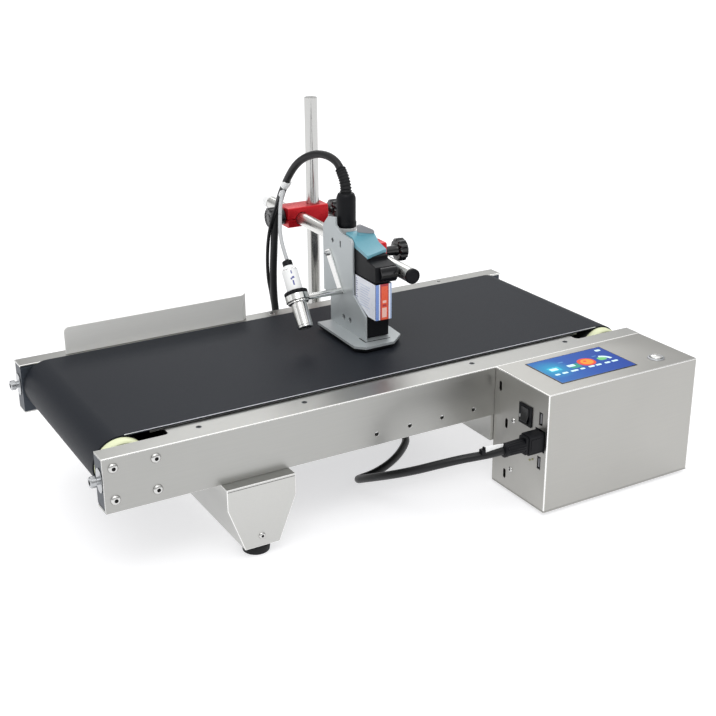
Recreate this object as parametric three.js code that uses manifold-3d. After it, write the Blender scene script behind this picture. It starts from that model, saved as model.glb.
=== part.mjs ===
// A date code inkjet printer: a small belt conveyor that carries goods under a cartridge print head.
// The head hangs from a rod, two red clamps and a pole; the control box sits beside the drive roller.
// Millimetres, +Z up, X along the conveyor, Y across it, Z = 0 on the table.
import * as THREE from "three";
import { mergeVertices } from "three/addons/utils/BufferGeometryUtils.js";
import Module from "manifold-3d";

const wasm = await Module();
wasm.setup();

// ---- driving dimensions -------------------------------------------------------------------
const LENGTH = 572.4; // conveyor rails, end to end
const WIDTH = 257; // over the outer faces of the two rails
const RAIL_TOP = 123;
const RAIL_HEIGHT = 50;
const SHEET = 2; // rail sheet
const FLANGE_END = 19; // rail flange width at the ends
const FLANGE_MID = 30.5; // wider front flange between the end notches
const BELT_FRONT = -97;
const BELT_BACK = 106;
const BELT_TOP = 125.5;
const BELT_RADIUS = 25; // outside, round a roller
const BELT_THICK = 1.8;
const ROLLER_X = 259.7; // roller axes, each side of the middle
const BOX_LEFT = 105.5;
const BOX_DEPTH = 82;
const BOX_SHEET = 1.5;
const PAD = 3; // rubber under the control box
const SUPPORT_BOTTOM = 10; // height of the rubber feet
const POLE = { x: 82.7, y: 196, r: 7.25, bottom: 62, top: 335 };
const HEAD_YAW = THREE.MathUtils.degToRad(-2); // the clamp is turned a little on the pole
const ROD = { x: 62.7, z: 203.5, r: 7.25, front: -63, back: 275 };
const HEAD_X = 28.5; // left face of the head's side plate
const BASE_TOP = 132.5; // head's base plate
const GAP = 0.3; // between pieces that touch

const X0 = -LENGTH / 2;
const X1 = LENGTH / 2;
const Y0 = -WIDTH / 2;
const Y1 = WIDTH / 2;
const RAIL_BOTTOM = RAIL_TOP - RAIL_HEIGHT;
const AXLE_Z = BELT_TOP - BELT_RADIUS;
const BOX_FRONT = Y0 - BOX_DEPTH;

// ---- solids -------------------------------------------------------------------------------
function toSolid(geometry) {
  for (const name of Object.keys(geometry.attributes)) {
    if (name !== "position") geometry.deleteAttribute(name);
  }
  const merged = mergeVertices(geometry, 1e-4);
  return new wasm.Manifold(new wasm.Mesh({
    numProp: 3,
    vertProperties: new Float32Array(merged.attributes.position.array),
    triVerts: new Uint32Array(merged.index.array),
  }));
}

function toGeometry(solid) {
  const mesh = solid.getMesh();
  const geometry = new THREE.BufferGeometry();
  geometry.setAttribute("position", new THREE.BufferAttribute(new Float32Array(mesh.vertProperties), 3));
  geometry.setIndex(new THREE.BufferAttribute(new Uint32Array(mesh.triVerts), 1));
  geometry.computeVertexNormals();
  return geometry;
}

// a block between two corners
function block(x0, x1, y0, y1, z0, z1) {
  const geometry = new THREE.BoxGeometry(x1 - x0, y1 - y0, z1 - z0);
  return toSolid(geometry.translate((x0 + x1) / 2, (y0 + y1) / 2, (z0 + z1) / 2));
}

// an outline pushed from low to high along an axis; it is drawn in (y,z), (x,z) or (x,y)
function prism(axis, shape, low, high, curveSegments = 8) {
  const depth = high - low;
  const geometry = new THREE.ExtrudeGeometry(shape, { depth, bevelEnabled: false, curveSegments });
  const place = new THREE.Matrix4();
  if (axis === "x") place.set(0, 0, 1, low, 1, 0, 0, 0, 0, 1, 0, 0, 0, 0, 0, 1);
  if (axis === "y") place.set(1, 0, 0, 0, 0, 0, -1, high, 0, 1, 0, 0, 0, 0, 0, 1);
  if (axis === "z") place.makeTranslation(0, 0, low);
  return toSolid(geometry.applyMatrix4(place));
}

// a turned piece: profile points are (radius, distance along the axis)
function turned(axis, centre, profile, segments = 28) {
  const geometry = new THREE.LatheGeometry(profile.map(([r, d]) => new THREE.Vector2(r, d)), segments);
  if (axis === "z") geometry.rotateX(Math.PI / 2);
  if (axis === "x") geometry.rotateZ(-Math.PI / 2);
  return toSolid(geometry.translate(...centre));
}

function cylinder(axis, radius, low, high, u, v, segments = 24) {
  const centre = { x: [0, u, v], y: [u, 0, v], z: [u, v, 0] }[axis];
  return turned(axis, centre, [[0, low], [radius, low], [radius, high], [0, high]], segments);
}

const polygon = (points) => new THREE.Shape(points.map(([u, v]) => new THREE.Vector2(u, v)));

function roundedRect(u0, u1, v0, v1, radius) {
  const shape = new THREE.Shape();
  shape.absarc(u1 - radius, v0 + radius, radius, -Math.PI / 2, 0);
  shape.absarc(u1 - radius, v1 - radius, radius, 0, Math.PI / 2);
  shape.absarc(u0 + radius, v1 - radius, radius, Math.PI / 2, Math.PI);
  shape.absarc(u0 + radius, v0 + radius, radius, Math.PI, Math.PI * 1.5);
  shape.closePath();
  return shape;
}

// the outline of a belt round two pulleys with centres a and b
function loopOutline(a, b, radiusA, radiusB) {
  const along = Math.atan2(b[1] - a[1], b[0] - a[0]);
  const span = Math.hypot(b[0] - a[0], b[1] - a[1]);
  const lean = Math.acos((radiusA - radiusB) / span);
  const shape = new THREE.Shape();
  shape.absarc(b[0], b[1], radiusB, along - lean, along + lean);
  shape.absarc(a[0], a[1], radiusA, along + lean, along - lean + Math.PI * 2);
  shape.closePath();
  return shape;
}

function beltLoop(a, b, radiusA, radiusB, thick, low, high, curveSegments) {
  const outer = loopOutline(a, b, radiusA + thick, radiusB + thick);
  outer.holes.push(loopOutline(a, b, radiusA, radiusB));
  return prism("y", outer, low, high, curveSegments);
}

// a round tube through a list of points
function tube(points, radius, sides, steps) {
  const curve = new THREE.CatmullRomCurve3(points.map((p) => new THREE.Vector3(...p)), false, "centripetal");
  const section = new THREE.Shape();
  for (let i = 0; i < sides; i++) {
    const turn = (i / sides) * Math.PI * 2;
    section[i ? "lineTo" : "moveTo"](radius * Math.cos(turn), radius * Math.sin(turn));
  }
  section.closePath();
  return toSolid(new THREE.ExtrudeGeometry(section, { steps, extrudePath: curve, bevelEnabled: false }));
}

// ---- materials ----------------------------------------------------------------------------
const finish = (color, roughness, metalness) => () =>
  new THREE.MeshStandardMaterial({ color, roughness, metalness });
const stainless = finish(0xb4b3ae, 0.38, 1);
const steel = finish(0x9a9b9c, 0.35, 1);
const chromed = finish(0xd8d8d6, 0.12, 1);
const alloy = finish(0xc9cbcc, 0.4, 1);
const paintedGrey = finish(0xb9c0c4, 0.5, 0.1);
const darkSteel = finish(0x4b5057, 0.5, 0.7);
const beltRubber = finish(0x3a3b3e, 0.75, 0);
const rubber = finish(0x17181a, 0.8, 0);
const blackPlastic = finish(0x17181b, 0.45, 0);
const redAnodised = finish(0xbe0a19, 0.35, 0.4);
const tealPlastic = finish(0x5f96a5, 0.45, 0);
const rollerYellow = finish(0xe8efbe, 0.5, 0);
const labelWhite = finish(0xdfe3ee, 0.45, 0);
const screenBlue = finish(0x195fae, 0.15, 0);
const boardGreen = finish(0x1f5a35, 0.5, 0);

// ---- assembly groups ----------------------------------------------------------------------
const machine = new THREE.Group();
const headPivot = new THREE.Group();
headPivot.position.set(POLE.x, POLE.y, 0);
headPivot.rotation.z = HEAD_YAW;
const head = new THREE.Group(); // everything that turns with the clamp on the pole
head.position.set(-POLE.x, -POLE.y, 0);
headPivot.add(head);
machine.add(headPivot);

function add(parent, name, solid, material) {
  const mesh = new THREE.Mesh(toGeometry(solid), material());
  mesh.name = name;
  parent.add(mesh);
}

// ---- conveyor frame -----------------------------------------------------------------------
const NOTCH_X = -220; // the wide flange starts here and ends at the mirrored place
const WEB_HOLE_PITCH = 36;

// a rail is a channel with its web outside; side is -1 for the front rail, +1 for the back
function rail(side, topFlange) {
  const web = side * WIDTH / 2;
  const inner = web - side * SHEET;
  const y = (v) => web - side * v;
  let body = block(X0, X1, Math.min(web, inner), Math.max(web, inner), RAIL_BOTTOM, RAIL_TOP);
  const flange = (depth, z0) => {
    const edge = y(depth);
    return block(X0, X1, Math.min(web, edge), Math.max(web, edge), z0, z0 + SHEET);
  };
  body = body.add(flange(topFlange, RAIL_TOP - SHEET)).add(flange(FLANGE_END, RAIL_BOTTOM));
  return body;
}

function frontRail() {
  let body = rail(-1, FLANGE_MID);
  const innerEnd = Y0 + FLANGE_END;
  const innerMid = Y0 + FLANGE_MID;
  for (const side of [-1, 1]) {
    const near = side * Math.abs(NOTCH_X);
    const far = side * (X1 + 6);
    const notch = roundedRect(Math.min(near, far), Math.max(near, far), innerEnd, innerMid + 9, 4);
    body = body.subtract(prism("z", notch, RAIL_TOP - 4, RAIL_TOP + 2));
  }
  for (let i = 0; i < 4; i++) {
    body = body.subtract(cylinder("y", 2.2, Y0 - 2, Y0 + 5, -27 + i * WEB_HOLE_PITCH, 84, 12));
  }
  return body.subtract(cylinder("y", 11, Y0 - 2, Y0 + 5, ROLLER_X, AXLE_Z));
}
add(machine, "front_rail", frontRail(), stainless);
add(machine, "back_rail", rail(1, FLANGE_END), stainless);

// the flat bed that the belt slides on, and the welded frame between the rails that holds it
const BED_HALF = 232;
const BED_TOP = BELT_TOP - BELT_THICK - 0.2;
add(machine, "slider_bed", block(-BED_HALF, BED_HALF, BELT_FRONT + 1, BELT_BACK - 2, BED_TOP - 2, BED_TOP),
  stainless);
function bedFrame() {
  const top = BED_TOP - 2 - GAP;
  let body = block(-200, 200, -12, 12, top - 16, top);
  for (const x of [-190, 0, 190]) {
    body = body.add(block(x - 12, x + 12, Y0 + SHEET + GAP, Y1 - SHEET - GAP, top - 26, top - 2));
  }
  return body;
}
add(machine, "bed_frame", bedFrame(), steel);

// bearing blocks in the rail ends, one at each end of each roller
const BLOCK_LONG = 42;
const SHAFT_R = 6;
function endBlock(endSide, railSide, threaded) {
  const xs = [endSide * (X1 - GAP), endSide * (X1 - GAP - BLOCK_LONG)];
  const ys = [railSide * (Y1 - SHEET - GAP), railSide * (endSide < 0 ? 108 : 111.5)];
  let body = block(Math.min(...xs), Math.max(...xs), Math.min(...ys), Math.max(...ys),
    RAIL_BOTTOM + SHEET + GAP, RAIL_TOP - SHEET - GAP);
  body = body.subtract(cylinder("y", SHAFT_R + 0.1, -140, 140, endSide * ROLLER_X, AXLE_Z, 32));
  if (threaded) {
    const hole = [endSide * (X1 + 1), endSide * (X1 - 15)];
    const [from, to] = [Math.min(...hole), Math.max(...hole)];
    body = body.subtract(cylinder("x", 4.4, from, to, BOLT_Y * railSide, AXLE_Z, 16));
  }
  return body;
}
const BOLT_Y = 119;
for (const [endName, endSide] of [["tail", -1], ["drive", 1]]) {
  for (const [sideName, railSide] of [["front", -1], ["back", 1]]) {
    add(machine, `${endName}_block_${sideName}`, endBlock(endSide, railSide, endSide < 0), darkSteel);
  }
}

// belt tension bolts in the tail end
for (const [sideName, railSide] of [["front", -1], ["back", 1]]) {
  const profile = [[0, 0], [4.9, 0], [4.9, 5], [3.9, 5], [3.9, 22], [0, 22]];
  let bolt = turned("x", [X0 - 8.5, BOLT_Y * railSide, AXLE_Z], profile, 20);
  bolt = bolt.subtract(cylinder("x", 2.5, X0 - 10, X0 - 6, BOLT_Y * railSide, AXLE_Z, 6));
  add(machine, `tension_bolt_${sideName}`, bolt, steel);
}

// ---- belt and rollers ---------------------------------------------------------------------
const ROLLER_HALF = 97.3;
const CAP_R = 22.8;
const CAP_FRONT_R = 23.6;
add(machine, "conveyor_belt",
  beltLoop([-ROLLER_X, AXLE_Z], [ROLLER_X, AXLE_Z], BELT_RADIUS - BELT_THICK, BELT_RADIUS - BELT_THICK,
    BELT_THICK, BELT_FRONT, BELT_BACK, 20), beltRubber);

function roller(x, shaftFront, shaftBack) {
  const profile = [[0, shaftFront], [SHAFT_R, shaftFront], [SHAFT_R, -ROLLER_HALF + 0.1],
    [CAP_R, -ROLLER_HALF + 0.1], [CAP_R, ROLLER_HALF - 0.1], [SHAFT_R, ROLLER_HALF - 0.1],
    [SHAFT_R, shaftBack], [0, shaftBack]];
  return turned("y", [x, 0, AXLE_Z], profile, 32);
}
function rollerCap(x, low, high, radius) {
  const bore = SHAFT_R + GAP;
  const profile = [[bore, low], [radius, low], [radius, high], [bore, high], [bore, low]];
  return turned("y", [x, 0, AXLE_Z], profile, 32);
}
const CAP_LONG = 9;
const PULLEY_Y = -140; // back face of the pulleys inside the control box
const PULLEY_WIDE = 12;
const driveShaftFront = PULLEY_Y - PULLEY_WIDE - 4;
for (const [name, x, shaftFront] of [["tail", -ROLLER_X, -123], ["drive", ROLLER_X, driveShaftFront]]) {
  add(machine, `${name}_roller`, roller(x, shaftFront, 123), alloy);
  add(machine, `${name}_cap_front`,
    rollerCap(x, -ROLLER_HALF - GAP - CAP_LONG, -ROLLER_HALF - GAP, CAP_FRONT_R), rollerYellow);
  add(machine, `${name}_cap_back`,
    rollerCap(x, ROLLER_HALF + GAP, ROLLER_HALF + GAP + CAP_LONG, CAP_R), rollerYellow);
}

// ---- guide plate on the back rail ---------------------------------------------------------
function guidePlate() {
  const bottom = RAIL_TOP + GAP;
  const top = 151;
  const [left, right, y] = [-238, -40, 115];
  const bend = 6;
  let body = prism("y", roundedRect(left, right - bend + 5, bottom - 5, top, 5), y, y + 1.5)
    .subtract(block(right - bend, right + 9, y - 3, y + 5, 0, 200));
  body = body.subtract(block(left - 5, right, y - 3, y + 5, bottom - 9, bottom));
  body = body.add(prism("z", polygon([[right - bend - 0.1, y], [right, y + bend], [right, y + bend + 1.7],
    [right - bend - 0.1, y + 1.5]]), bottom, top));
  return body.add(block(left + 5, right - bend, y + 0.5, y + 11, bottom, bottom + 1.5));
}
add(machine, "guide_plate", guidePlate(), stainless);

// ---- supports under the rails -------------------------------------------------------------
const SUPPORT_TOP = RAIL_BOTTOM - GAP;
function foldedSupport(outer, inner, front, back, opening) {
  const body = prism("y", outer, front, back).subtract(prism("y", inner, front + SHEET, back - SHEET));
  return body.subtract(opening);
}
// left support: a trapezoid duct across the whole width, standing on two feet
const LEFT = { top: [-183.3, -117.3], bottom: [-168.3, -134.9], shoulder: 52.5, front: -140.5, back: 140.5 };
function supportOutline(inset) {
  const [a, b] = [LEFT.top[0] + inset, LEFT.top[1] - inset];
  const [c, d] = [LEFT.bottom[0] + inset, LEFT.bottom[1] - inset];
  const low = SUPPORT_BOTTOM + inset;
  const high = SUPPORT_TOP - inset;
  return polygon([[c, low], [d, low], [b, LEFT.shoulder], [b, high], [a, high], [a, LEFT.shoulder]]);
}
const leftOpening = block(LEFT.top[0] + SHEET, LEFT.top[1] - SHEET, -112, 112, SUPPORT_TOP - 9,
  SUPPORT_TOP + 2);
add(machine, "left_support",
  foldedSupport(supportOutline(0), supportOutline(SHEET), LEFT.front, LEFT.back, leftOpening), stainless);

// right support: a tray behind the control box with one tapered leg at the back
const RIGHT = { left: 102, right: 196, floor: 46 };
function rightSupport() {
  const outer = polygon([[RIGHT.left, RIGHT.floor], [RIGHT.right, RIGHT.floor], [RIGHT.right, SUPPORT_TOP],
    [RIGHT.left, SUPPORT_TOP]]);
  const t = SHEET;
  const inner = polygon([[RIGHT.left + t, RIGHT.floor + t], [RIGHT.right - t, RIGHT.floor + t],
    [RIGHT.right - t, SUPPORT_TOP + 5], [RIGHT.left + t, SUPPORT_TOP + 5]]);
  let body = prism("y", outer, Y0 + GAP, Y1).subtract(prism("y", inner, Y0 + GAP + t, Y1 - t));
  const leg = (s) => polygon([[128 + s, SUPPORT_BOTTOM + s], [170 - s, SUPPORT_BOTTOM + s],
    [186 - s, RIGHT.floor + 1], [112 + s, RIGHT.floor + 1]]);
  body = body.add(prism("y", leg(0), 96, Y1).subtract(prism("y", leg(t), 90, Y1 - t)
    .subtract(block(0, 300, 0, 200, RIGHT.floor + 0.5, 200))));
  return body.subtract(cylinder("y", 4, Y1 - 6, Y1 + 2, 116, 60, 16));
}
add(machine, "right_support", rightSupport(), stainless);

// rubber feet, slightly conical, with a screw stub into the support
function foot(x, y) {
  const h = SUPPORT_BOTTOM - GAP;
  return turned("z", [x, y, 0], [[0, h], [11.5, h], [13, h - 2.5], [12, 0], [0, 0]].reverse(), 28);
}
const FEET = [["front_left", -151.6, -126], ["back_left", -151.6, 126], ["back_right", 149, 112]];
for (const [name, x, y] of FEET) add(machine, `foot_${name}`, foot(x, y), rubber);

// ---- pole and its bracket -----------------------------------------------------------------
function poleBracket() {
  const face = Y1 + GAP;
  let body = block(58, 108, face, face + 4, 76, 118);
  body = body.add(block(66, 99.4, face + 3, POLE.y - 8, 76, 84));
  body = body.add(cylinder("z", 15, 66, 94, POLE.x, POLE.y, 28));
  for (const x of [66, 92]) {
    const web = polygon([[face + 3, 83], [face + 3, 112], [POLE.y - 22, 83]]);
    body = body.add(prism("x", web, x, x + 4));
  }
  return body.subtract(cylinder("z", POLE.r + GAP, 50, 120, POLE.x, POLE.y, 28));
}
add(machine, "pole_bracket", poleBracket(), stainless);
add(machine, "pole", cylinder("z", POLE.r, POLE.bottom, POLE.top, POLE.x, POLE.y, 28), chromed);

// ---- control box --------------------------------------------------------------------------
const BOX_BACK = Y0 - GAP;
const SCREEN = { x0: 133, x1: 224.5, y0: -194.4, y1: -138.3 };
const BUTTON = { x: 252.7, y: -189.3 };
const ROCKER = { y: -177.9, z: 92 };
const ROCKER_PIVOT_X = 109;
const PORT_Y = -200;
const USB_Z = [51.5, 95.8];
const SOCKET_Z = 74.5;

function boxCover() {
  const bottom = PAD + BOX_SHEET + GAP;
  let body = block(BOX_LEFT, X1, BOX_FRONT, BOX_BACK, bottom, RAIL_TOP);
  body = body.subtract(block(BOX_LEFT + BOX_SHEET, X1 - BOX_SHEET, BOX_FRONT + BOX_SHEET, BOX_BACK + 5,
    bottom - 5, RAIL_TOP - BOX_SHEET));
  const high = [RAIL_TOP - 5, RAIL_TOP + 5];
  body = body.subtract(block(SCREEN.x0 - GAP, SCREEN.x1 + GAP, SCREEN.y0 - GAP, SCREEN.y1 + GAP, ...high));
  body = body.subtract(cylinder("z", 6, ...high, BUTTON.x, BUTTON.y));
  const wall = [BOX_LEFT - 3, BOX_LEFT + 3];
  body = body.subtract(block(...wall, ROCKER.y - 8.6, ROCKER.y + 8.6, ROCKER.z - 9.1, ROCKER.z + 9.1));
  for (const z of USB_Z) body = body.subtract(block(...wall, PORT_Y - 2.6, PORT_Y + 2.6, z - 6.6, z + 6.6));
  body = body.subtract(block(...wall, PORT_Y - 7.4, PORT_Y + 7.4, SOCKET_Z - 11, SOCKET_Z + 11));
  // keyhole slots beside the cover's screws
  for (const [y, z] of [[-148.7, 18.5], [-148.7, 71.8], [-137.5, 106.5]]) {
    body = body.subtract(prism("x", roundedRect(y - 2, y + 2, z - 5, z + 5, 1.9), ...wall, 3));
  }
  return body;
}
add(machine, "control_box_cover", boxCover(), stainless);

function boxBase() {
  const inner = BOX_SHEET + GAP;
  let body = block(BOX_LEFT, X1, BOX_FRONT, BOX_BACK, PAD, PAD + BOX_SHEET);
  body = body.add(block(BOX_LEFT + inner, X1 - inner, BOX_BACK - BOX_SHEET, BOX_BACK, PAD,
    RAIL_TOP - inner));
  return body.subtract(cylinder("y", 11, BOX_BACK - 5, BOX_BACK + 5, ROLLER_X, AXLE_Z));
}
add(machine, "control_box_base", boxBase(), stainless);

function boxPad() {
  const outer = roundedRect(BOX_LEFT + 6, X1 - 6, BOX_FRONT + 6, BOX_BACK - 6, 4);
  outer.holes.push(roundedRect(BOX_LEFT + 20, X1 - 20, BOX_FRONT + 20, BOX_BACK - 20, 4));
  return prism("z", outer, 0, PAD - GAP, 3);
}
add(machine, "box_pad", boxPad(), rubber);

function touchScreen() {
  const rim = 5;
  const glassTop = RAIL_TOP + 0.4;
  const under = RAIL_TOP - BOX_SHEET - GAP;
  const body = block(SCREEN.x0 - rim, SCREEN.x1 + rim, SCREEN.y0 - rim, SCREEN.y1 + 3, under - 9, under);
  return body.add(block(SCREEN.x0, SCREEN.x1, SCREEN.y0, SCREEN.y1, under - 1, glassTop));
}
add(machine, "touch_screen", touchScreen(), screenBlue);

// a domed metal button that slides in the cover
const dome = [[0, 104], [4, 104], [4, 108], [5.6, 108], [5.6, 124.2], [4.6, 125.2], [2.6, 125.9], [0, 126.1]];
add(machine, "push_button", turned("z", [BUTTON.x, BUTTON.y, 0], dome, 24), chromed);

// mains rocker in its housing, pressed in at the top
function rockerHousing() {
  const face = BOX_LEFT - 1.2;
  const { y, z } = ROCKER;
  let body = block(face, BOX_LEFT - GAP, y - 9.7, y + 9.7, z - 10.2, z + 10.2);
  body = body.add(block(BOX_LEFT - 0.5, BOX_LEFT + 14, y - 8.3, y + 8.3, z - 8.8, z + 8.8));
  return body.subtract(block(face - 1, BOX_LEFT + 9, y - 5.6, y + 5.6, z - 7.9, z + 7.9));
}
add(machine, "rocker_housing", rockerHousing(), blackPlastic);
function rocker() {
  const { y, z } = ROCKER;
  const face = BOX_LEFT;
  const profile = polygon([[face - 3, z + 7], [face - 1.8, z], [face - 3, z - 7], [face + 1.5, z - 7.2],
    [face + 6, z - 2], [face + 6, z + 2], [face + 1.5, z + 7.2]]);
  const tilt = 8;
  return prism("y", profile, y - 5.2, y + 5.2).translate([-ROCKER_PIVOT_X, 0, -z]).rotate([0, tilt, 0])
    .translate([ROCKER_PIVOT_X, 0, z]);
}
add(machine, "power_rocker", rocker(), blackPlastic);

// the port board carries both USB sockets and the print head's data socket
function portBoard() {
  const x = BOX_LEFT + 5.5;
  let body = block(x, x + 1.6, -208, -188.5, 38, 108);
  const shell = (halfY, halfZ, z, wall) => block(BOX_LEFT + GAP, x + 0.1, PORT_Y - halfY, PORT_Y + halfY,
    z - halfZ, z + halfZ).subtract(block(BOX_LEFT - 1, x - 1, PORT_Y - halfY + wall, PORT_Y + halfY - wall,
    z - halfZ + wall, z + halfZ - wall));
  for (const z of USB_Z) {
    body = body.add(shell(2.3, 6.3, z, 0.5));
    body = body.add(block(BOX_LEFT + 1.2, x, PORT_Y - 1.2, PORT_Y - 0.1, z - 4.8, z + 4.8));
  }
  return body.add(shell(7.1, 10.7, SOCKET_Z, 1.2));
}
add(machine, "port_board", portBoard(), boardGreen);

// inside the box: controller, power supply, gear motor and the timing drive to the roller shaft
function controlBoard() {
  let body = block(120, 190, -190, -136, 60, 61.6);
  body = body.add(block(130, 152, -178, -158, 61.5, 66)).add(block(160, 172, -184, -150, 61.5, 70));
  for (const [x, y] of [[124, -186], [186, -186], [124, -140], [186, -140]]) {
    body = body.add(cylinder("z", 2.5, 50, 60.5, x, y, 10));
  }
  return body;
}
add(machine, "control_board", controlBoard(), boardGreen);
function powerSupply() {
  const floor = PAD + BOX_SHEET + GAP;
  const body = block(118, 186, -196, -136, floor, 44);
  return body.add(block(124, 180, -200, -195, floor, 16));
}
add(machine, "power_supply", powerSupply(), alloy);

const MOTOR = { x: 222, z: 34, r: 18, shaft: 3 };
function driveMotor() {
  const floor = PAD + BOX_SHEET + GAP;
  let body = cylinder("y", MOTOR.r, -206, -158, MOTOR.x, MOTOR.z, 28);
  body = body.add(block(MOTOR.x - 20, MOTOR.x + 20, -160, -157, floor, MOTOR.z + 20));
  body = body.add(block(MOTOR.x - 20, MOTOR.x + 20, -190, -158, floor, floor + 4));
  return body.subtract(cylinder("y", MOTOR.shaft + GAP, -168, -150, MOTOR.x, MOTOR.z, 20));
}
add(machine, "drive_motor", driveMotor(), darkSteel);
const PULLEY_BIG = 15;
const PULLEY_SMALL = 10;
// the groove of a flanged pulley between its two faces
function pulleyRim(radius) {
  const low = PULLEY_Y - PULLEY_WIDE;
  return [[radius + 1.8, low], [radius + 1.8, low + 1.5], [radius, low + 1.5], [radius, PULLEY_Y - 1.5],
    [radius + 1.8, PULLEY_Y - 1.5], [radius + 1.8, PULLEY_Y]];
}
function drivenPulley() {
  const bore = SHAFT_R + GAP;
  const low = PULLEY_Y - PULLEY_WIDE;
  const profile = [[bore, low], ...pulleyRim(PULLEY_BIG), [bore, PULLEY_Y], [bore, low]];
  return turned("y", [ROLLER_X, 0, AXLE_Z], profile, 28);
}
function motorPulley() {
  const low = PULLEY_Y - PULLEY_WIDE;
  const profile = [[0, low - 14], [MOTOR.shaft, low - 14], [MOTOR.shaft, low], ...pulleyRim(PULLEY_SMALL),
    [0, PULLEY_Y]];
  return turned("y", [MOTOR.x, 0, MOTOR.z], profile, 28);
}
add(machine, "driven_pulley", drivenPulley(), alloy);
add(machine, "motor_pulley", motorPulley(), alloy);
add(machine, "timing_belt",
  beltLoop([MOTOR.x, MOTOR.z], [ROLLER_X, AXLE_Z], PULLEY_SMALL + 0.4, PULLEY_BIG + 0.4, 1.3,
    PULLEY_Y - PULLEY_WIDE + 2, PULLEY_Y - 2, 14), rubber);

// ---- clamps, rod and knobs ----------------------------------------------------------------
const CLAMP = { x0: 45.8, x1: 95.4, y0: 182.4, y1: 209.6, z0: 194.2, z1: 216.4 };
const CLAMP_MID_Z = (CLAMP.z0 + CLAMP.z1) / 2;
const SLIT = 0.8;
function crossClamp() {
  let body = prism("x", roundedRect(CLAMP.y0, CLAMP.y1, CLAMP.z0, CLAMP.z1, 2), CLAMP.x0, CLAMP.x1, 2);
  body = body.subtract(cylinder("z", POLE.r + GAP, 150, 250, POLE.x, POLE.y, 28));
  body = body.subtract(cylinder("y", ROD.r + GAP, 150, 250, ROD.x, ROD.z, 28));
  // a slit from each bore to its end, closed by the knob's screw
  body = body.subtract(block(POLE.x, CLAMP.x1 + 1, POLE.y - SLIT / 2, POLE.y + SLIT / 2, 150, 250));
  body = body.subtract(block(CLAMP.x0 - 1, ROD.x, 150, 250, ROD.z - SLIT / 2, ROD.z + SLIT / 2));
  // the left slit lies across the rod screw, the right one across the pole screw
  body = body.subtract(cylinder("x", 3.4, CLAMP.x0 - 1, ROD.x - ROD.r - 1, POLE.y, CLAMP_MID_Z, 12));
  return body.subtract(cylinder("x", 3.4, POLE.x + POLE.r + 1, CLAMP.x1 + 1, POLE.y, CLAMP_MID_Z, 12));
}
add(head, "cross_clamp", crossClamp(), redAnodised);

// a lobed hand knob on a screw; dir is the side of the clamp that it stands on, stand its distance from it
function knob(x, dir, y, z, screw, stand = 9, hubRadius = 6.5, hubGap = 4) {
  const lobed = new THREE.Shape();
  const lobes = 7;
  for (let i = 0; i <= lobes * 8; i++) {
    const turn = (i / (lobes * 8)) * Math.PI * 2;
    const r = 11.2 + 0.9 * Math.cos(lobes * turn);
    lobed[i ? "lineTo" : "moveTo"](y + r * Math.cos(turn), z + r * Math.sin(turn));
  }
  const near = x + dir * stand;
  const far = near + dir * 10;
  let body = prism("x", lobed, Math.min(near, far), Math.max(near, far), 1);
  const hub = [near - dir * (9 - hubGap), near + dir];
  body = body.add(cylinder("x", hubRadius, Math.min(...hub), Math.max(...hub), y, z, 20));
  const shank = [x - dir * screw, near - dir * 4];
  return body.add(cylinder("x", 2.9, Math.min(...shank), Math.max(...shank), y, z, 12));
}
add(head, "pole_knob", knob(CLAMP.x1, 1, POLE.y, CLAMP_MID_Z, 4), blackPlastic);
add(head, "rod_knob", knob(CLAMP.x0, -1, POLE.y, CLAMP_MID_Z, 8.2, 9, 9, 0.5), blackPlastic);

const CAP_DEEP = 4;
add(head, "rod", cylinder("y", ROD.r, ROD.front + CAP_DEEP, ROD.back, ROD.x, ROD.z, 28), chromed);
add(head, "rod_cap_front",
  cylinder("y", ROD.r + 0.2, ROD.front, ROD.front + CAP_DEEP - GAP, ROD.x, ROD.z, 28), blackPlastic);

// the second clamp grips the rod behind the cartridge and carries the head's side plate
const STALL = { x0: HEAD_X + 2 + GAP, x1: 54.8, y0: 3, y1: 58, z0: 133, z1: 226 };
const HEAD_CLAMP = { x0: STALL.x1 + GAP, x1: 77, y0: 14, y1: 34, z0: 191, z1: 216 };
function headClamp() {
  const c = HEAD_CLAMP;
  let body = prism("x", roundedRect(c.y0, c.y1, c.z0, c.z1, 2), c.x0, c.x1, 2);
  body = body.subtract(cylinder("y", ROD.r + GAP, 0, 60, ROD.x, ROD.z, 28));
  body = body.subtract(block(ROD.x, c.x1 + 1, 0, 60, ROD.z - SLIT / 2, ROD.z + SLIT / 2));
  return body.subtract(cylinder("x", 3.4, ROD.x + ROD.r + 1, c.x1 + 1, 24, ROD.z, 12));
}
add(head, "head_clamp", headClamp(), redAnodised);
add(head, "head_knob", knob(HEAD_CLAMP.x1, 1, 24, ROD.z, 5, 15.5), blackPlastic);

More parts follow.
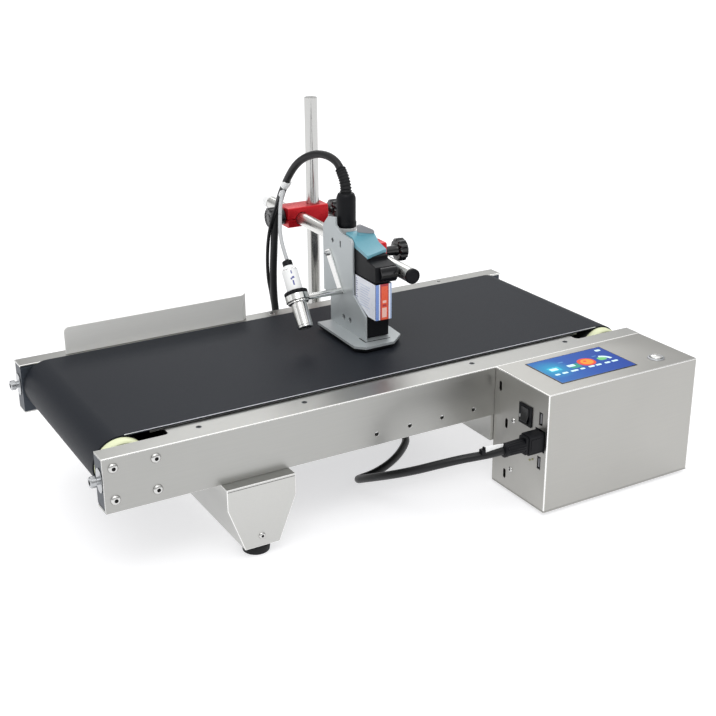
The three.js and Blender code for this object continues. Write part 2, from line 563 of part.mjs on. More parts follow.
// ---- print head ---------------------------------------------------------------------------
// the side plate with its foot, folded from one sheet
function headBracket() {
  const outline = new THREE.Shape();
  outline.moveTo(-29, BASE_TOP - 2);
  outline.lineTo(46, BASE_TOP - 2);
  outline.lineTo(46, 160.5);
  outline.lineTo(61, 161.5);
  outline.lineTo(61.5, 230);
  outline.lineTo(50, 241);
  outline.lineTo(34, 244);
  outline.lineTo(33, 236.3);
  outline.lineTo(21.8, 231);
  outline.lineTo(4, 229.6);
  outline.absarc(3, 223.6, 6, Math.PI / 2, Math.PI);
  outline.lineTo(-3, 173.5);
  outline.lineTo(-29, 157.8);
  outline.closePath();
  let body = prism("x", outline, HEAD_X, HEAD_X + 2);
  for (const [y, z, r] of [[40.3, 219, 2.6], [17.2, 144.1, 2.9], [3.4, 144.5, 2.9]]) {
    body = body.subtract(cylinder("x", r, HEAD_X - 2, HEAD_X + 4, y, z, 16));
  }
  body = body.subtract(prism("x", roundedRect(21.5, 24.5, 215.5, 222.5, 1.4), HEAD_X - 2, HEAD_X + 4, 3));
  const base = polygon([[12.5, 45], [12.5, -35], [21, -44], [54, -42], [69.5, -27], [71, -4], [71, 45]]);
  body = body.add(prism("z", base, BASE_TOP - 2.6, BASE_TOP));
  // the print window under the cartridge's nose, and an L-shaped slot round its front left corner
  body = body.subtract(block(HEAD_X + 4, 50, -21, -2, BASE_TOP - 6, BASE_TOP + 0.2));
  body = body.subtract(block(HEAD_X - 1.8, HEAD_X - 0.3, -32, -18, BASE_TOP - 6, BASE_TOP + 0.2));
  return body.subtract(block(HEAD_X - 1.8, 55.4, -32, -30.5, BASE_TOP - 6, BASE_TOP + 0.2));
}
add(head, "head_bracket", headBracket(), paintedGrey);

function skidPlate() {
  const outline = polygon([[13.5, 43], [13.5, -35], [21.5, -43.2], [53.5, -41.2], [68.7, -26.5], [70, -4],
    [70, 43]]);
  const low = BELT_TOP + 1.7;
  const body = prism("z", outline, low, BASE_TOP - 2.6 - GAP);
  return body.subtract(block(HEAD_X + 4, 50, -21, -2, low - 2, BASE_TOP));
}
add(head, "skid_plate", skidPlate(), blackPlastic);

// the pen stall: the fixed black housing behind the cartridge, with a neck for the plug
const PLUG = { x: 43.5, y: 38.3, bottom: 232, top: 266 };
const LATCH_AXIS = { y: 10, z: 221, pin: 1.6 };
const KNUCKLE = [40, 46];
function penStall() {
  const s = STALL;
  let body = prism("x", polygon([[s.y0, s.z0], [44, s.z0], [44, 160], [s.y1, 163], [s.y1, s.z1 - 6],
    [s.y1 - 6, s.z1], [26.5, s.z1], [26.5, 214], [14, 208], [s.y0, 204]]), s.x0, s.x1);
  // the knuckle that holds the latch's pin
  const { y, z, pin } = LATCH_AXIS;
  body = body.add(cylinder("x", 4, ...KNUCKLE, y, z, 20));
  body = body.add(prism("x", polygon([[y - 3.9, z], [6, 204], [15, 208], [y + 3.9, z]]), ...KNUCKLE));
  body = body.subtract(cylinder("x", pin + GAP, 30, 60, y, z, 16));
  return body.add(cylinder("z", 9, s.z1 - 2, PLUG.bottom - GAP, PLUG.x, PLUG.y, 24));
}
add(head, "pen_stall", penStall(), blackPlastic);

// the latch: a black arm over the cartridge and a teal press plate, hinged at the back
function latch() {
  const [x0, x1] = [31.2, 54.4];
  const { y, z, pin } = LATCH_AXIS;
  const arm = polygon([[-45, 196], [-5, 196], [-1, 200], [3, 209], [y - 3, z - 4], [y + 3, z - 4], [y + 4, z],
    [y + 4, 228], [-4, 222], [-28, 217.6], [-28, 214.6], [-45, 212]]);
  const plateSide = polygon([[-33, 216.2], [-26, 217], [-4, 221], [16, 228], [16, 232.6], [2, 231], [-6, 225],
    [-33, 219]]);
  const platePlan = polygon([[x0, -29.5], [43, -25], [56.5, -21.5], [56.5, 5], [x1, 16], [x0, 16]]);
  const tongue = polygon([[38.5, 224], [56, 224], [56, 233], [54.5, 235], [42, 241.5], [39.5, 241.5],
    [38.5, 240]]);
  const plate = prism("x", plateSide, x0, 57).intersect(prism("z", platePlan, 210, 240));
  let body = prism("x", arm, x0, x1).add(plate).add(prism("y", tongue, 2.6, 6));
  body = body.add(block(36, x1, -49, -44.5, 197, 211));
  body = body.subtract(block(KNUCKLE[0] - 0.5, KNUCKLE[1] + 0.5, y - 14, y + 9, z - 22, z + 5));
  return body.add(cylinder("x", pin, KNUCKLE[0] - 2, KNUCKLE[1] + 2, y, z, 16));
}
add(head, "latch", latch(), tealPlastic);

// the ink cartridge: flat body with a label, and a wider nose that carries the nozzles
function cartridge() {
  const body = prism("x", polygon([[-45, 158], [-30, 157.8], [-3, 169.5], [0.5, 171], [0.5, 194.8],
    [-45, 194.8]]), 31.2, 49);
  const nose = prism("x", polygon([[-23.5, 133.2], [2, 133.2], [2, 170.5], [-4, 170.5], [-31, 158.5],
    [-24.5, 156]]), 31.2, 57.5);
  return body.add(nose);
}
add(head, "cartridge", cartridge(), labelWhite);

// plug on top of the stall, with a ribbed bent boot
const BOOT = [[PLUG.x, PLUG.y, 265], [PLUG.x, 39.3, 273], [PLUG.x, 43.3, 281], [PLUG.x, 49.6, 287.6]];
function headPlug() {
  const profile = [[0, PLUG.bottom], [10.3, PLUG.bottom], [10.3, 238], [9.6, 240], [9.6, 262],
    [8.6, PLUG.top], [0, PLUG.top]];
  return turned("z", [PLUG.x, PLUG.y, 0], profile, 24).add(tube(BOOT, 5.6, 12, 10));
}
add(head, "head_plug", headPlug(), blackPlastic);

// ---- product sensor -----------------------------------------------------------------------
const SENSOR = { x: -22, y: 19, z: 171.5, r: 8, lean: THREE.MathUtils.degToRad(35), up: 38, down: 31 };
function leaning(solid) {
  const lean = THREE.MathUtils.radToDeg(-SENSOR.lean);
  return solid.rotate([lean, 0, 0]).translate([SENSOR.x, SENSOR.y, SENSOR.z]);
}
function sensorArm() {
  const strap = prism("x", polygon([[45, 209], [54, 205], [23, 166.5], [14.5, 170.5]]), HEAD_X - GAP - 1.6,
    HEAD_X - GAP);
  let body = strap.add(cylinder("x", 3.2, SENSOR.x + 9.5, HEAD_X - GAP - 0.5, SENSOR.y, SENSOR.z, 16));
  let ring = cylinder("z", SENSOR.r + 4, -3, 3, 0, 0, 28);
  ring = ring.subtract(cylinder("z", SENSOR.r + GAP, -6, 6, 0, 0, 28));
  ring = leaning(ring);
  return body.add(ring);
}
add(head, "sensor_arm", sensorArm(), chromed);
function sensor() {
  const { r, up, down } = SENSOR;
  const profile = [[0, -down], [r - 2, -down], [r, -down + 3], [r, up - 8], [r - 2.5, up - 3], [4, up - 3],
    [4, up + 2], [0, up + 2]];
  return leaning(turned("z", [0, 0, 0], profile, 24));
}
add(head, "sensor", sensor(), chromed);

// ---- cords --------------------------------------------------------------------------------
// the frame's origin is under the middle of everything but the cords
machine.updateMatrixWorld(true);
const box = new THREE.Box3().setFromObject(machine);

// the data cable's plug in the control box, with a ribbed grip
function boxPlug() {
  const body = prism("x", roundedRect(PORT_Y - 6.5, PORT_Y + 6.5, SOCKET_Z - 9.8, SOCKET_Z + 9.8, 1.5), 85.4,
    BOX_LEFT - GAP, 2);
  return body.add(cylinder("x", 6.8, 63, 86, PORT_Y, SOCKET_Z, 20));
}
add(machine, "box_plug", boxPlug(), blackPlastic);

const CABLE_R = 4;
const HEAD_CABLE_LOOP = [[38.3, 51.5, 288.7], [37.2, 57.2, 293.9], [34.2, 65.5, 298], [30.6, 77, 299],
  [27, 88, 296.9], [23, 100, 291.6], [19.7, 112, 282.7], [17.8, 124, 270], [17.1, 135, 256.6]];
const HEAD_CABLE_DROP = [[17.1, 135.2, 256.3], [16.8, 143, 245], [15.8, 149, 230], [13, 153, 204],
  [11, 153, 180], [9.5, 153, 155], [9, 152, 130], [10, 151, 108], [9, 149, 85], [5, 146, 60], [1, 141, 38],
  [3, 131, 20], [11, 116, 9.5], [25, 98, 6], [44, 77, 5], [64, 55, 5], [80, 33, 5], [86, 10, 5],
  [79, -11, 5], [61, -31, 5], [40, -47, 5], [21, -57, 5], [5, -63, 5.5], [-10, -69, 8], [-18.5, -80, 14],
  [-20.5, -98, 23.5], [-18.5, -118, 33.5], [-13.5, -140, 44.5], [-4, -162, 56], [9, -179, 65.5],
  [24, -190.5, 71.5], [38, -196.8, 73.8], [50, -199.4, 74.4], [62.7, -200, 74.5]];
add(machine, "head_cable_loop", tube(HEAD_CABLE_LOOP, CABLE_R, 8, 12), rubber);
add(machine, "head_cable_drop", tube(HEAD_CABLE_DROP, CABLE_R, 8, 66), rubber);

const LEAD_R = 1.9;
const SENSOR_LEAD_ROOT = [[-27.2, 45.2, 205.4], [-27.3, 50, 212], [-26.8, 56, 220], [-24.5, 64, 229.3],
  [-20.5, 71.8, 236.3], [-16.2, 79.8, 241.3]];
const SENSOR_LEAD_LOOP = [[-15.9, 80.4, 241.6], [-11, 89.4, 245.8], [-4.5, 100.5, 249.6], [3.2, 113, 252.9],
  [8.6, 121, 254], [11.4, 127.5, 252.6], [12.6, 133, 249.2]];
const SENSOR_LEAD_DROP = [[12.7, 133.4, 248.8], [12.8, 137.3, 244.2], [12, 142.3, 236.5], [8.5, 150, 217],
  [6.5, 156, 195], [5.8, 159, 170], [6.5, 159.4, 148], [9, 159.6, 132], [11, 159, 116], [15, 157, 95],
  [26, 152, 75], [46, 148, 63], [68, 145, 57.5], [92, 143, 57], [108, 139, 58.5], [115, 133, 60],
  [116, 129.2, 60]];
add(machine, "sensor_lead_root", tube(SENSOR_LEAD_ROOT, LEAD_R, 8, 6), rubber);
add(machine, "sensor_lead_loop", tube(SENSOR_LEAD_LOOP, LEAD_R, 8, 13), rubber);
add(machine, "sensor_lead_drop", tube(SENSOR_LEAD_DROP, LEAD_R, 8, 42), rubber);

machine.position.set(-(box.min.x + box.max.x) / 2, -(box.min.y + box.max.y) / 2, 0);
export default machine;
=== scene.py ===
"""Looks for a date code inkjet printer: a belt conveyor, its control box and a print head over the belt.

Lengths in the tables are machine millimetres (X along the conveyor, Y across it, Z up from the table),
or head millimetres, which are the same before the head is turned a little round its pole.
"""
import math

import bmesh
import bpy
from mathutils import Matrix, Vector


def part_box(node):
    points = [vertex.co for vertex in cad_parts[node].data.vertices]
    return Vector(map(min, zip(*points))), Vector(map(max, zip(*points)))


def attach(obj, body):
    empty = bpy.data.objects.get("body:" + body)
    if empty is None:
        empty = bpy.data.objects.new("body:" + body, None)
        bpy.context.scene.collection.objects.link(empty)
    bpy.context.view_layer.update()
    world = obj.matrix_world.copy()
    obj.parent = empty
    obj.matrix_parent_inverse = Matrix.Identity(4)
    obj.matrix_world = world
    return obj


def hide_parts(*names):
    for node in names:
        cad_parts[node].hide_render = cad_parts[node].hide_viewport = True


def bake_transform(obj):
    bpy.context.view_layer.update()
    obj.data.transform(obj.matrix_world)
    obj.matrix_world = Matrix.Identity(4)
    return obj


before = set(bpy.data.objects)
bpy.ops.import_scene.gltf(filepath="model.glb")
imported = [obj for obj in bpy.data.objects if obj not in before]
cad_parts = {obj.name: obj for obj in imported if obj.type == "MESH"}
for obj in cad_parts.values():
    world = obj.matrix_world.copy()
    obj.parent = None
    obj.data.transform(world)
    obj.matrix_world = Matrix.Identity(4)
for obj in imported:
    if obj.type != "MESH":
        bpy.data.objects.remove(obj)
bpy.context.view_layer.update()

# ---- places ----------------
MM = 0.001
RAIL_Y = 128.5
_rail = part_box("front_rail")
SHIFT = Vector(((_rail[0].x + _rail[1].x) / 2, _rail[0].y + RAIL_Y * MM, 0))
POLE = (82.7, 196.0)
YAW = math.radians(-2)


def at(x, y, z):
    """A machine point in the scene, in metres."""
    return Vector((x * MM, y * MM, z * MM)) + SHIFT


MACHINE = Matrix.Translation(SHIFT) @ Matrix.Scale(MM, 4)
HEAD = (MACHINE @ Matrix.Translation((POLE[0], POLE[1], 0)) @ Matrix.Rotation(YAW, 4, "Z")
        @ Matrix.Translation((-POLE[0], -POLE[1], 0)))


# ---- camera ----------------
CAMERA_AT = (-546.0, -994.8, 557.4)
CAMERA_AZIMUTH = 29.97
CAMERA_DOWN = 21.53
CAMERA_ROLL = -0.38
FOCAL_PX = 1214.0
IMAGE_PX = 716.0
SENSOR_MM = 36.0


def add_camera():
    """The camera, solved from the machine's straight edges."""
    data = bpy.data.cameras.new("camera")
    data.sensor_width = SENSOR_MM
    data.lens = FOCAL_PX / IMAGE_PX * SENSOR_MM
    data.clip_start = 0.01
    data.clip_end = 50
    camera = bpy.data.objects.new("camera", data)
    azimuth = math.radians(CAMERA_AZIMUTH)
    down = math.radians(CAMERA_DOWN)
    roll = math.radians(CAMERA_ROLL)
    forward = Vector((math.sin(azimuth) * math.cos(down), math.cos(azimuth) * math.cos(down),
                      -math.sin(down)))
    level = Vector((forward.y, -forward.x, 0)).normalized()
    upright = level.cross(forward)
    right = level * math.cos(roll) + upright * math.sin(roll)
    up = right.cross(forward)
    camera.matrix_world = Matrix((right, up, -forward)).transposed().to_4x4()
    camera.matrix_world.translation = at(*CAMERA_AT)
    bpy.context.scene.collection.objects.link(camera)
    bpy.context.scene.camera = camera


add_camera()

# ---- materials ----------------
MIX_FACTOR, MIX_A, MIX_B, MIX_RESULT = 0, 6, 7, 2  # the sockets of a Mix node that mixes colours
BLOTCH_SCALE = 9.0
BLOTCH_DETAIL = 3.0
COAT_ROUGHNESS = 0.08
BUMP_DEPTH = 0.0002
_materials = {}


def srgb(r, g, b):
    """A colour given as 0-255 screen values, in the linear values that shaders take."""
    def linear(v):
        v /= 255
        return v / 12.92 if v <= 0.04045 else ((v + 0.055) / 1.055) ** 2.4
    return (linear(r), linear(g), linear(b), 1.0)


def new_material(name):
    """A material, its node tree and its shader."""
    material = bpy.data.materials.new(name)
    material.use_nodes = True
    tree = material.node_tree
    return material, tree, tree.nodes["Principled BSDF"]


def remapped(tree, value, source, target=(0.0, 1.0)):
    """The output of a node that maps one range of a value to another."""
    node = tree.nodes.new("ShaderNodeMapRange")
    for name, number in zip(("From Min", "From Max", "To Min", "To Max"), (*source, *target)):
        node.inputs[name].default_value = number
    tree.links.new(value, node.inputs["Value"])
    return node.outputs["Result"]


def mixed(tree, factor, first, second, blend="MIX"):
    """The output of a node that mixes two colours; each input is a socket or a fixed value."""
    node = tree.nodes.new("ShaderNodeMix")
    node.data_type = "RGBA"
    node.blend_type = blend
    for index, value in ((MIX_FACTOR, factor), (MIX_A, first), (MIX_B, second)):
        if isinstance(value, bpy.types.NodeSocket):
            tree.links.new(value, node.inputs[index])
        else:
            node.inputs[index].default_value = value
    return node.outputs[MIX_RESULT]


def grain(tree, place, scale, detail):
    """The output of a noise node at a place."""
    node = tree.nodes.new("ShaderNodeTexNoise")
    node.inputs["Scale"].default_value = scale
    node.inputs["Detail"].default_value = detail
    tree.links.new(place, node.inputs["Vector"])
    return node.outputs["Fac"]


def make_material(name, color, roughness, metallic=0.0, stretch=(1, 1, 1), scale=400.0, detail=2.0,
                  tone=0.06, rough_by=0.05, bump=0.0, coat=0.0, specular=0.5, emission=0.0, blotch=0.0):
    """A surface with fine grain: noise, stretched for brushing, moves tone, roughness and bump a little."""
    if name in _materials:
        return _materials[name]
    material, tree, shader = new_material(name)
    nodes, links = tree.nodes, tree.links
    shader.inputs["Metallic"].default_value = metallic
    shader.inputs["Coat Weight"].default_value = coat
    shader.inputs["Coat Roughness"].default_value = COAT_ROUGHNESS
    shader.inputs["Specular IOR Level"].default_value = specular
    coords = nodes.new("ShaderNodeTexCoord")
    mapping = nodes.new("ShaderNodeMapping")
    mapping.inputs["Scale"].default_value = stretch
    links.new(coords.outputs["Object"], mapping.inputs["Vector"])
    factor = grain(tree, mapping.outputs["Vector"], scale, detail)
    dark = [max(0.0, c * (1 - tone)) for c in color[:3]] + [1.0]
    light = [min(1.0, c * (1 + tone)) for c in color[:3]] + [1.0]
    color_out = mixed(tree, factor, dark, light)
    if blotch:
        broad = grain(tree, coords.outputs["Object"], BLOTCH_SCALE, BLOTCH_DETAIL)
        shade = remapped(tree, broad, (0.3, 0.7), (1 - blotch, 1.0))
        color_out = mixed(tree, 1.0, color_out, shade, "MULTIPLY")
    links.new(color_out, shader.inputs["Base Color"])
    if emission:
        links.new(color_out, shader.inputs["Emission Color"])
        shader.inputs["Emission Strength"].default_value = emission
    rough = remapped(tree, factor, (0.25, 0.75),
                     (max(0.02, roughness - rough_by), min(1.0, roughness + rough_by)))
    links.new(rough, shader.inputs["Roughness"])
    if bump:
        relief = nodes.new("ShaderNodeBump")
        relief.inputs["Strength"].default_value = bump
        relief.inputs["Distance"].default_value = BUMP_DEPTH
        links.new(factor, relief.inputs["Height"])
        links.new(relief.outputs["Normal"], shader.inputs["Normal"])
    _materials[name] = material
    return material


def brushed(name, color, roughness, stretch):
    """Brushed sheet steel, its grain drawn out by the stretch."""
    return make_material(name, color, roughness, metallic=1.0, stretch=stretch, scale=60.0, detail=4.0,
                         tone=0.07, rough_by=0.06, bump=0.12, blotch=0.05)


def printed(name, color, tone=0.04):
    """Glossy printed film."""
    return make_material(name, color, 0.3, scale=500, tone=tone, coat=0.3)


STEEL = srgb(196, 196, 193)
RAIL_STEEL = srgb(172, 172, 169)
ALONG_X = (0.35, 22, 22)
ALONG_Y = (22, 0.35, 22)
stainless_x = brushed("stainless_brushed_x", STEEL, 0.34, ALONG_X)
rail_steel = brushed("rail_brushed_x", RAIL_STEEL, 0.36, ALONG_X)
stainless_y = brushed("stainless_brushed_y", STEEL, 0.34, ALONG_Y)
box_steel = brushed("box_steel", srgb(178, 177, 173), 0.36, ALONG_X)
# brighter steel for rounded edges and folds: a painted highlight that stands in for white edge highlights
painted_highlight_steel = make_material("painted_highlight_steel", srgb(246, 246, 244), 0.25, metallic=1.0, scale=500, tone=0.02,
                           bump=0.02)
matte_steel = make_material("stainless_matte", srgb(232, 232, 229), 0.5, metallic=0.1, stretch=ALONG_X,
                            scale=60, detail=4, tone=0.03, bump=0.08)
bare_steel = make_material("bare_steel", srgb(178, 180, 182), 0.3, metallic=1.0, scale=300, tone=0.08,
                           bump=0.1)
screw_steel = make_material("screw_steel", srgb(205, 205, 203), 0.22, metallic=1.0, scale=500, tone=0.08,
                            bump=0.05)
polished = make_material("polished_steel", srgb(222, 222, 220), 0.17, metallic=1.0, stretch=(1, 1, 0.2),
                         scale=200, tone=0.04, rough_by=0.03, bump=0.02)
pole_steel = make_material("pole_steel", srgb(196, 196, 194), 0.2, metallic=1.0, stretch=(1, 1, 0.2),
                           scale=200, tone=0.04, rough_by=0.03)
satin_rod = make_material("satin_rod", srgb(214, 214, 211), 0.27, metallic=1.0, stretch=(1, 0.2, 1),
                          scale=120, tone=0.04, rough_by=0.03)
alloy = make_material("alloy", srgb(205, 207, 208), 0.35, metallic=1.0, scale=250, bump=0.06)
bracket_paint = make_material("bracket_finish", srgb(182, 188, 190), 0.4, metallic=0.35, scale=900, tone=0.05,
                              rough_by=0.04, bump=0.1, blotch=0.04)
dark_block = make_material("dark_block", srgb(62, 68, 76), 0.45, metallic=0.5, scale=500, tone=0.12,
                           bump=0.15)
belt_skin = make_material("belt_skin", srgb(33, 36, 42), 0.5, scale=1400, detail=3, tone=0.1, bump=0.18,
                          specular=0.12, blotch=0.05)
rubber = make_material("rubber_black", srgb(19, 20, 22), 0.62, scale=900, tone=0.2, bump=0.25, specular=0.3)
jacket = make_material("cable_jacket", srgb(17, 18, 20), 0.4, scale=700, tone=0.15, bump=0.08, specular=0.35)
grey_jacket = make_material("grey_jacket", srgb(182, 184, 186), 0.34, scale=700, tone=0.08, bump=0.08)
black_plastic = make_material("black_plastic", srgb(13, 14, 18), 0.45, scale=1600, tone=0.15, bump=0.2,
                              specular=0.18)
black_gloss = make_material("black_gloss", srgb(14, 15, 18), 0.2, scale=300, tone=0.1, coat=0.2)
red_metal = make_material("red_anodised", srgb(196, 14, 28), 0.3, metallic=0.45, scale=900, tone=0.08,
                          bump=0.08)
teal = make_material("teal_plastic", srgb(98, 158, 174), 0.32, scale=800, bump=0.06, coat=0.2)
yellow_plastic = make_material("yellow_plastic", srgb(224, 229, 190), 0.4, scale=300, tone=0.03, bump=0.06)
grey_plastic = make_material("grey_plastic", srgb(140, 140, 144), 0.35, scale=800, bump=0.06)
white_plastic = make_material("white_plastic", srgb(238, 239, 239), 0.35, scale=600, tone=0.03, bump=0.05)
label_paper = printed("label_paper", srgb(240, 243, 252), 0.03)
label_blue = printed("label_blue", srgb(120, 150, 214))
label_orange = printed("label_orange", srgb(236, 88, 48))
label_sky = printed("label_sky", srgb(170, 190, 226))
label_red = printed("label_red", srgb(176, 34, 48))
label_pink = printed("label_pink", srgb(246, 196, 184), 0.03)
label_ink = make_material("label_ink", srgb(86, 92, 150), 0.4, scale=500, tone=0.1)
# near-black for socket floors, gaps and the space behind holes: painted shade
painted_shade = make_material("painted_shade_dark", srgb(20, 20, 22), 0.7, scale=500, tone=0.2)
board_green = make_material("board_green", srgb(31, 90, 53), 0.5, scale=400, tone=0.15, bump=0.1)
lamp_glass = make_material("lamp_glass", srgb(150, 150, 112), 0.3, scale=500, tone=0.05)


# ---- stage ----------------
# the sky's steps, each a height and a share of the light: pale low down, then dim, bright overhead
SKY = ((0.0, 0.8), (0.06, 0.8), (0.2, 0.2), (0.88, 1.0))
SKY_HIGH = 1.3
FLOOR_GLOW = 1.26  # keeps the floor white, with faint shadows
FLOOR_REACH = 40.0
FLOOR_GAP = 0.0003


def add_stage():
    """The white floor, and the sky that lights it."""
    floor_mat = make_material("floor_white", srgb(188, 188, 189), 0.85, scale=20, tone=0.002, specular=0.1,
                              emission=FLOOR_GLOW)
    mesh = bpy.data.meshes.new("floor")
    corners = ((-1, -1), (1, -1), (1, 1), (-1, 1))
    mesh.from_pydata([(x * FLOOR_REACH, y * FLOOR_REACH, 0) for x, y in corners], [], [(0, 1, 2, 3)])
    floor = bpy.data.objects.new("floor", mesh)
    floor.location.z = -FLOOR_GAP
    mesh.materials.append(floor_mat)
    bpy.context.scene.collection.objects.link(floor)
    world = bpy.data.worlds.new("studio")
    world.use_nodes = True
    nodes = world.node_tree.nodes
    links = world.node_tree.links
    coords = nodes.new("ShaderNodeTexCoord")
    split = nodes.new("ShaderNodeSeparateXYZ")
    ramp = nodes.new("ShaderNodeValToRGB")
    stops = ramp.color_ramp.elements
    stops[0].position, stops[1].position = SKY[0][0], SKY[-1][0]
    for height, share in SKY[1:-1]:
        stops.new(height)
    for stop, (height, share) in zip(stops, SKY):
        stop.color = (share, share, share, 1.0)
    links.new(coords.outputs["Generated"], split.inputs["Vector"])
    links.new(split.outputs["Z"], ramp.inputs["Fac"])
    links.new(ramp.outputs["Color"], nodes["Background"].inputs["Color"])
    nodes["Background"].inputs["Strength"].default_value = SKY_HIGH
    bpy.context.scene.world = world
    bpy.context.scene.view_settings.view_transform = "Standard"


def add_light(name, place, target, size, power):
    """A rectangular light that points at a target."""
    data = bpy.data.lights.new(name, "AREA")
    data.shape = "RECTANGLE"
    data.size, data.size_y = size
    data.energy = power
    light = bpy.data.objects.new(name, data)
    light.location = place
    aim = Vector(target) - Vector(place)
    light.rotation_euler = aim.to_track_quat("-Z", "Y").to_euler()
    bpy.context.scene.collection.objects.link(light)


add_stage()
add_light("key", (-0.6, -1.0, 1.8), (0, 0, 0.1), (1.2, 0.8), 9)
add_light("side", (-1.7, 0.3, 0.9), (0, 0, 0.15), (0.9, 1.0), 2.5)
add_light("rim", (0.9, 1.5, 1.2), (0, 0, 0.1), (1.4, 0.6), 5)


# ---- mesh kit ----------------
def link_mesh(name, bm, material, body, smooth=35.0):
    """Makes an object from a bmesh: smooth shading with sharp edges over an angle, on a body."""
    bmesh.ops.recalc_face_normals(bm, faces=bm.faces)
    limit = math.radians(smooth)
    for face in bm.faces:
        face.smooth = True
    for edge in bm.edges:
        if len(edge.link_faces) == 2:
            edge.smooth = edge.calc_face_angle(0) < limit
    mesh = bpy.data.meshes.new(name)
    bm.to_mesh(mesh)
    bm.free()
    obj = bpy.data.objects.new(name, mesh)
    for item in material if isinstance(material, (list, tuple)) else [material]:
        mesh.materials.append(item)
    bpy.context.scene.collection.objects.link(obj)
    if body:
        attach(obj, body)
    return obj


def bake_modifiers(obj):
    """Puts the result of a piece's modifiers in its mesh."""
    bpy.context.view_layer.update()
    graph = bpy.context.evaluated_depsgraph_get()
    mesh = bpy.data.meshes.new_from_object(obj.evaluated_get(graph))
    old = obj.data
    obj.modifiers.clear()
    obj.data = mesh
    mesh.name = old.name
    bpy.data.meshes.remove(old)


FOLD_RADIUS = 1.0
FOLD_FACE = 2500  # the least area of the faces beside a fold, in square millimetres
FOLD_ANGLE = 60  # the least angle of a fold, in degrees
FACING = 0.5  # a face looks down or back when its normal goes further than this


def edge_slot(obj, edge):
    """The place of an edge material among a piece's materials."""
    if edge.name not in obj.data.materials:
        obj.data.materials.append(edge)
    return obj.data.materials.find(edge.name)


def round_folds(obj, edge):
    """Rounds the front and top folds of bent sheet, where two large faces meet, in their own material, a
    brighter steel that paints a highlight on them.
    """
    bm = bmesh.new()
    bm.from_mesh(obj.data)
    weight = bm.edges.layers.float.new("bevel_weight_edge")
    for fold in bm.edges:
        faces = fold.link_faces
        if len(faces) != 2 or not fold.is_convex or fold.calc_face_angle(0) < math.radians(FOLD_ANGLE):
            continue
        if any(face.normal.z < -FACING or face.normal.y > FACING for face in faces):
            continue
        if min(face.calc_area() for face in faces) > FOLD_FACE * MM * MM:
            fold[weight] = 1.0
    bm.to_mesh(obj.data)
    bm.free()
    bevel = obj.modifiers.new("folds", "BEVEL")
    bevel.material = edge_slot(obj, edge)
    bevel.width = FOLD_RADIUS * MM
    bevel.segments = 3
    bevel.limit_method = "WEIGHT"
    bevel.harden_normals = True
    bake_modifiers(obj)


SHARP_ANGLE = 32.0  # edges are rounded past this, in degrees


def soften(obj, width, segments=2, edge=None):
    """Rounds the sharp edges of a piece, which may take a material of their own, a brighter steel that paints
    a highlight on them; width is in millimetres.
    """
    bevel = obj.modifiers.new("edges", "BEVEL")
    if edge:
        bevel.material = edge_slot(obj, edge)
    bevel.width = width * MM
    bevel.segments = segments
    bevel.limit_method = "ANGLE"
    bevel.angle_limit = math.radians(SHARP_ANGLE)
    bevel.harden_normals = True
    bake_modifiers(obj)
    return obj


def refined(node, material, body, width=0.4, segments=2, edge=None, folds=False):
    """A CAD node's own shape with rounded edges, in the node's place."""
    bm = bmesh.new()
    bm.from_mesh(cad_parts[node].data)
    bmesh.ops.remove_doubles(bm, verts=bm.verts, dist=1e-6)
    bmesh.ops.dissolve_limit(bm, angle_limit=math.radians(0.6), verts=bm.verts, edges=bm.edges)
    obj = link_mesh(node + "_shape", bm, material, body)
    if folds:
        round_folds(obj, edge)
    if width:
        soften(obj, width, segments, edge=edge)
    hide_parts(node)
    return obj


def turned(name, profile, place, material, body, segments=56, replaces=(), ripple=None, inner=0):
    """A lathe piece: (radius, height along local Z) in millimetres, put in place by a matrix.

    A ripple is (count, depth, low, high): that many flutes, from low to high along the axis. The first
    inner bands of the profile take the second material.
    """
    bm = bmesh.new()
    rings = []
    for radius, height in profile:
        if radius < 1e-6:
            rings.append([bm.verts.new((0, 0, height))])
            continue
        fluted = ripple and ripple[2] <= height <= ripple[3]
        ring = []
        for i in range(segments):
            turn = i / segments * math.tau
            r = radius + (ripple[1] * math.cos(ripple[0] * turn) if fluted else 0)
            ring.append(bm.verts.new((r * math.cos(turn), r * math.sin(turn), height)))
        rings.append(ring)
    closed = profile[0] == profile[-1] and profile[0][0] > 0
    if closed:
        for vert in rings[-1]:
            bm.verts.remove(vert)
        rings[-1] = rings[0]
    for band, (low, high) in enumerate(zip(rings, rings[1:])):
        for i in range(segments):
            j = (i + 1) % segments
            if len(low) == 1 and len(high) == 1:
                continue
            if len(low) == 1:
                face = bm.faces.new((low[0], high[i], high[j]))
            elif len(high) == 1:
                face = bm.faces.new((low[i], low[j], high[0]))
            else:
                face = bm.faces.new((low[i], low[j], high[j], high[i]))
            face.material_index = 1 if band < inner else 0
    bm.transform(place)
    obj = link_mesh(name, bm, material, body)
    if replaces:
        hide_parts(*replaces)
    return obj


def block(bm, x0, x1, y0, y1, z0, z1, place=MACHINE, index=0):
    """Adds a block between two corners to a bmesh."""
    made = bmesh.ops.create_cube(bm, size=1.0)
    size = Matrix.Diagonal((x1 - x0, y1 - y0, z1 - z0, 1))
    move = Matrix.Translation(((x0 + x1) / 2, (y0 + y1) / 2, (z0 + z1) / 2))
    bmesh.ops.transform(bm, matrix=place @ move @ size, verts=made["verts"])
    for face in {f for v in made["verts"] for f in v.link_faces}:
        face.material_index = index


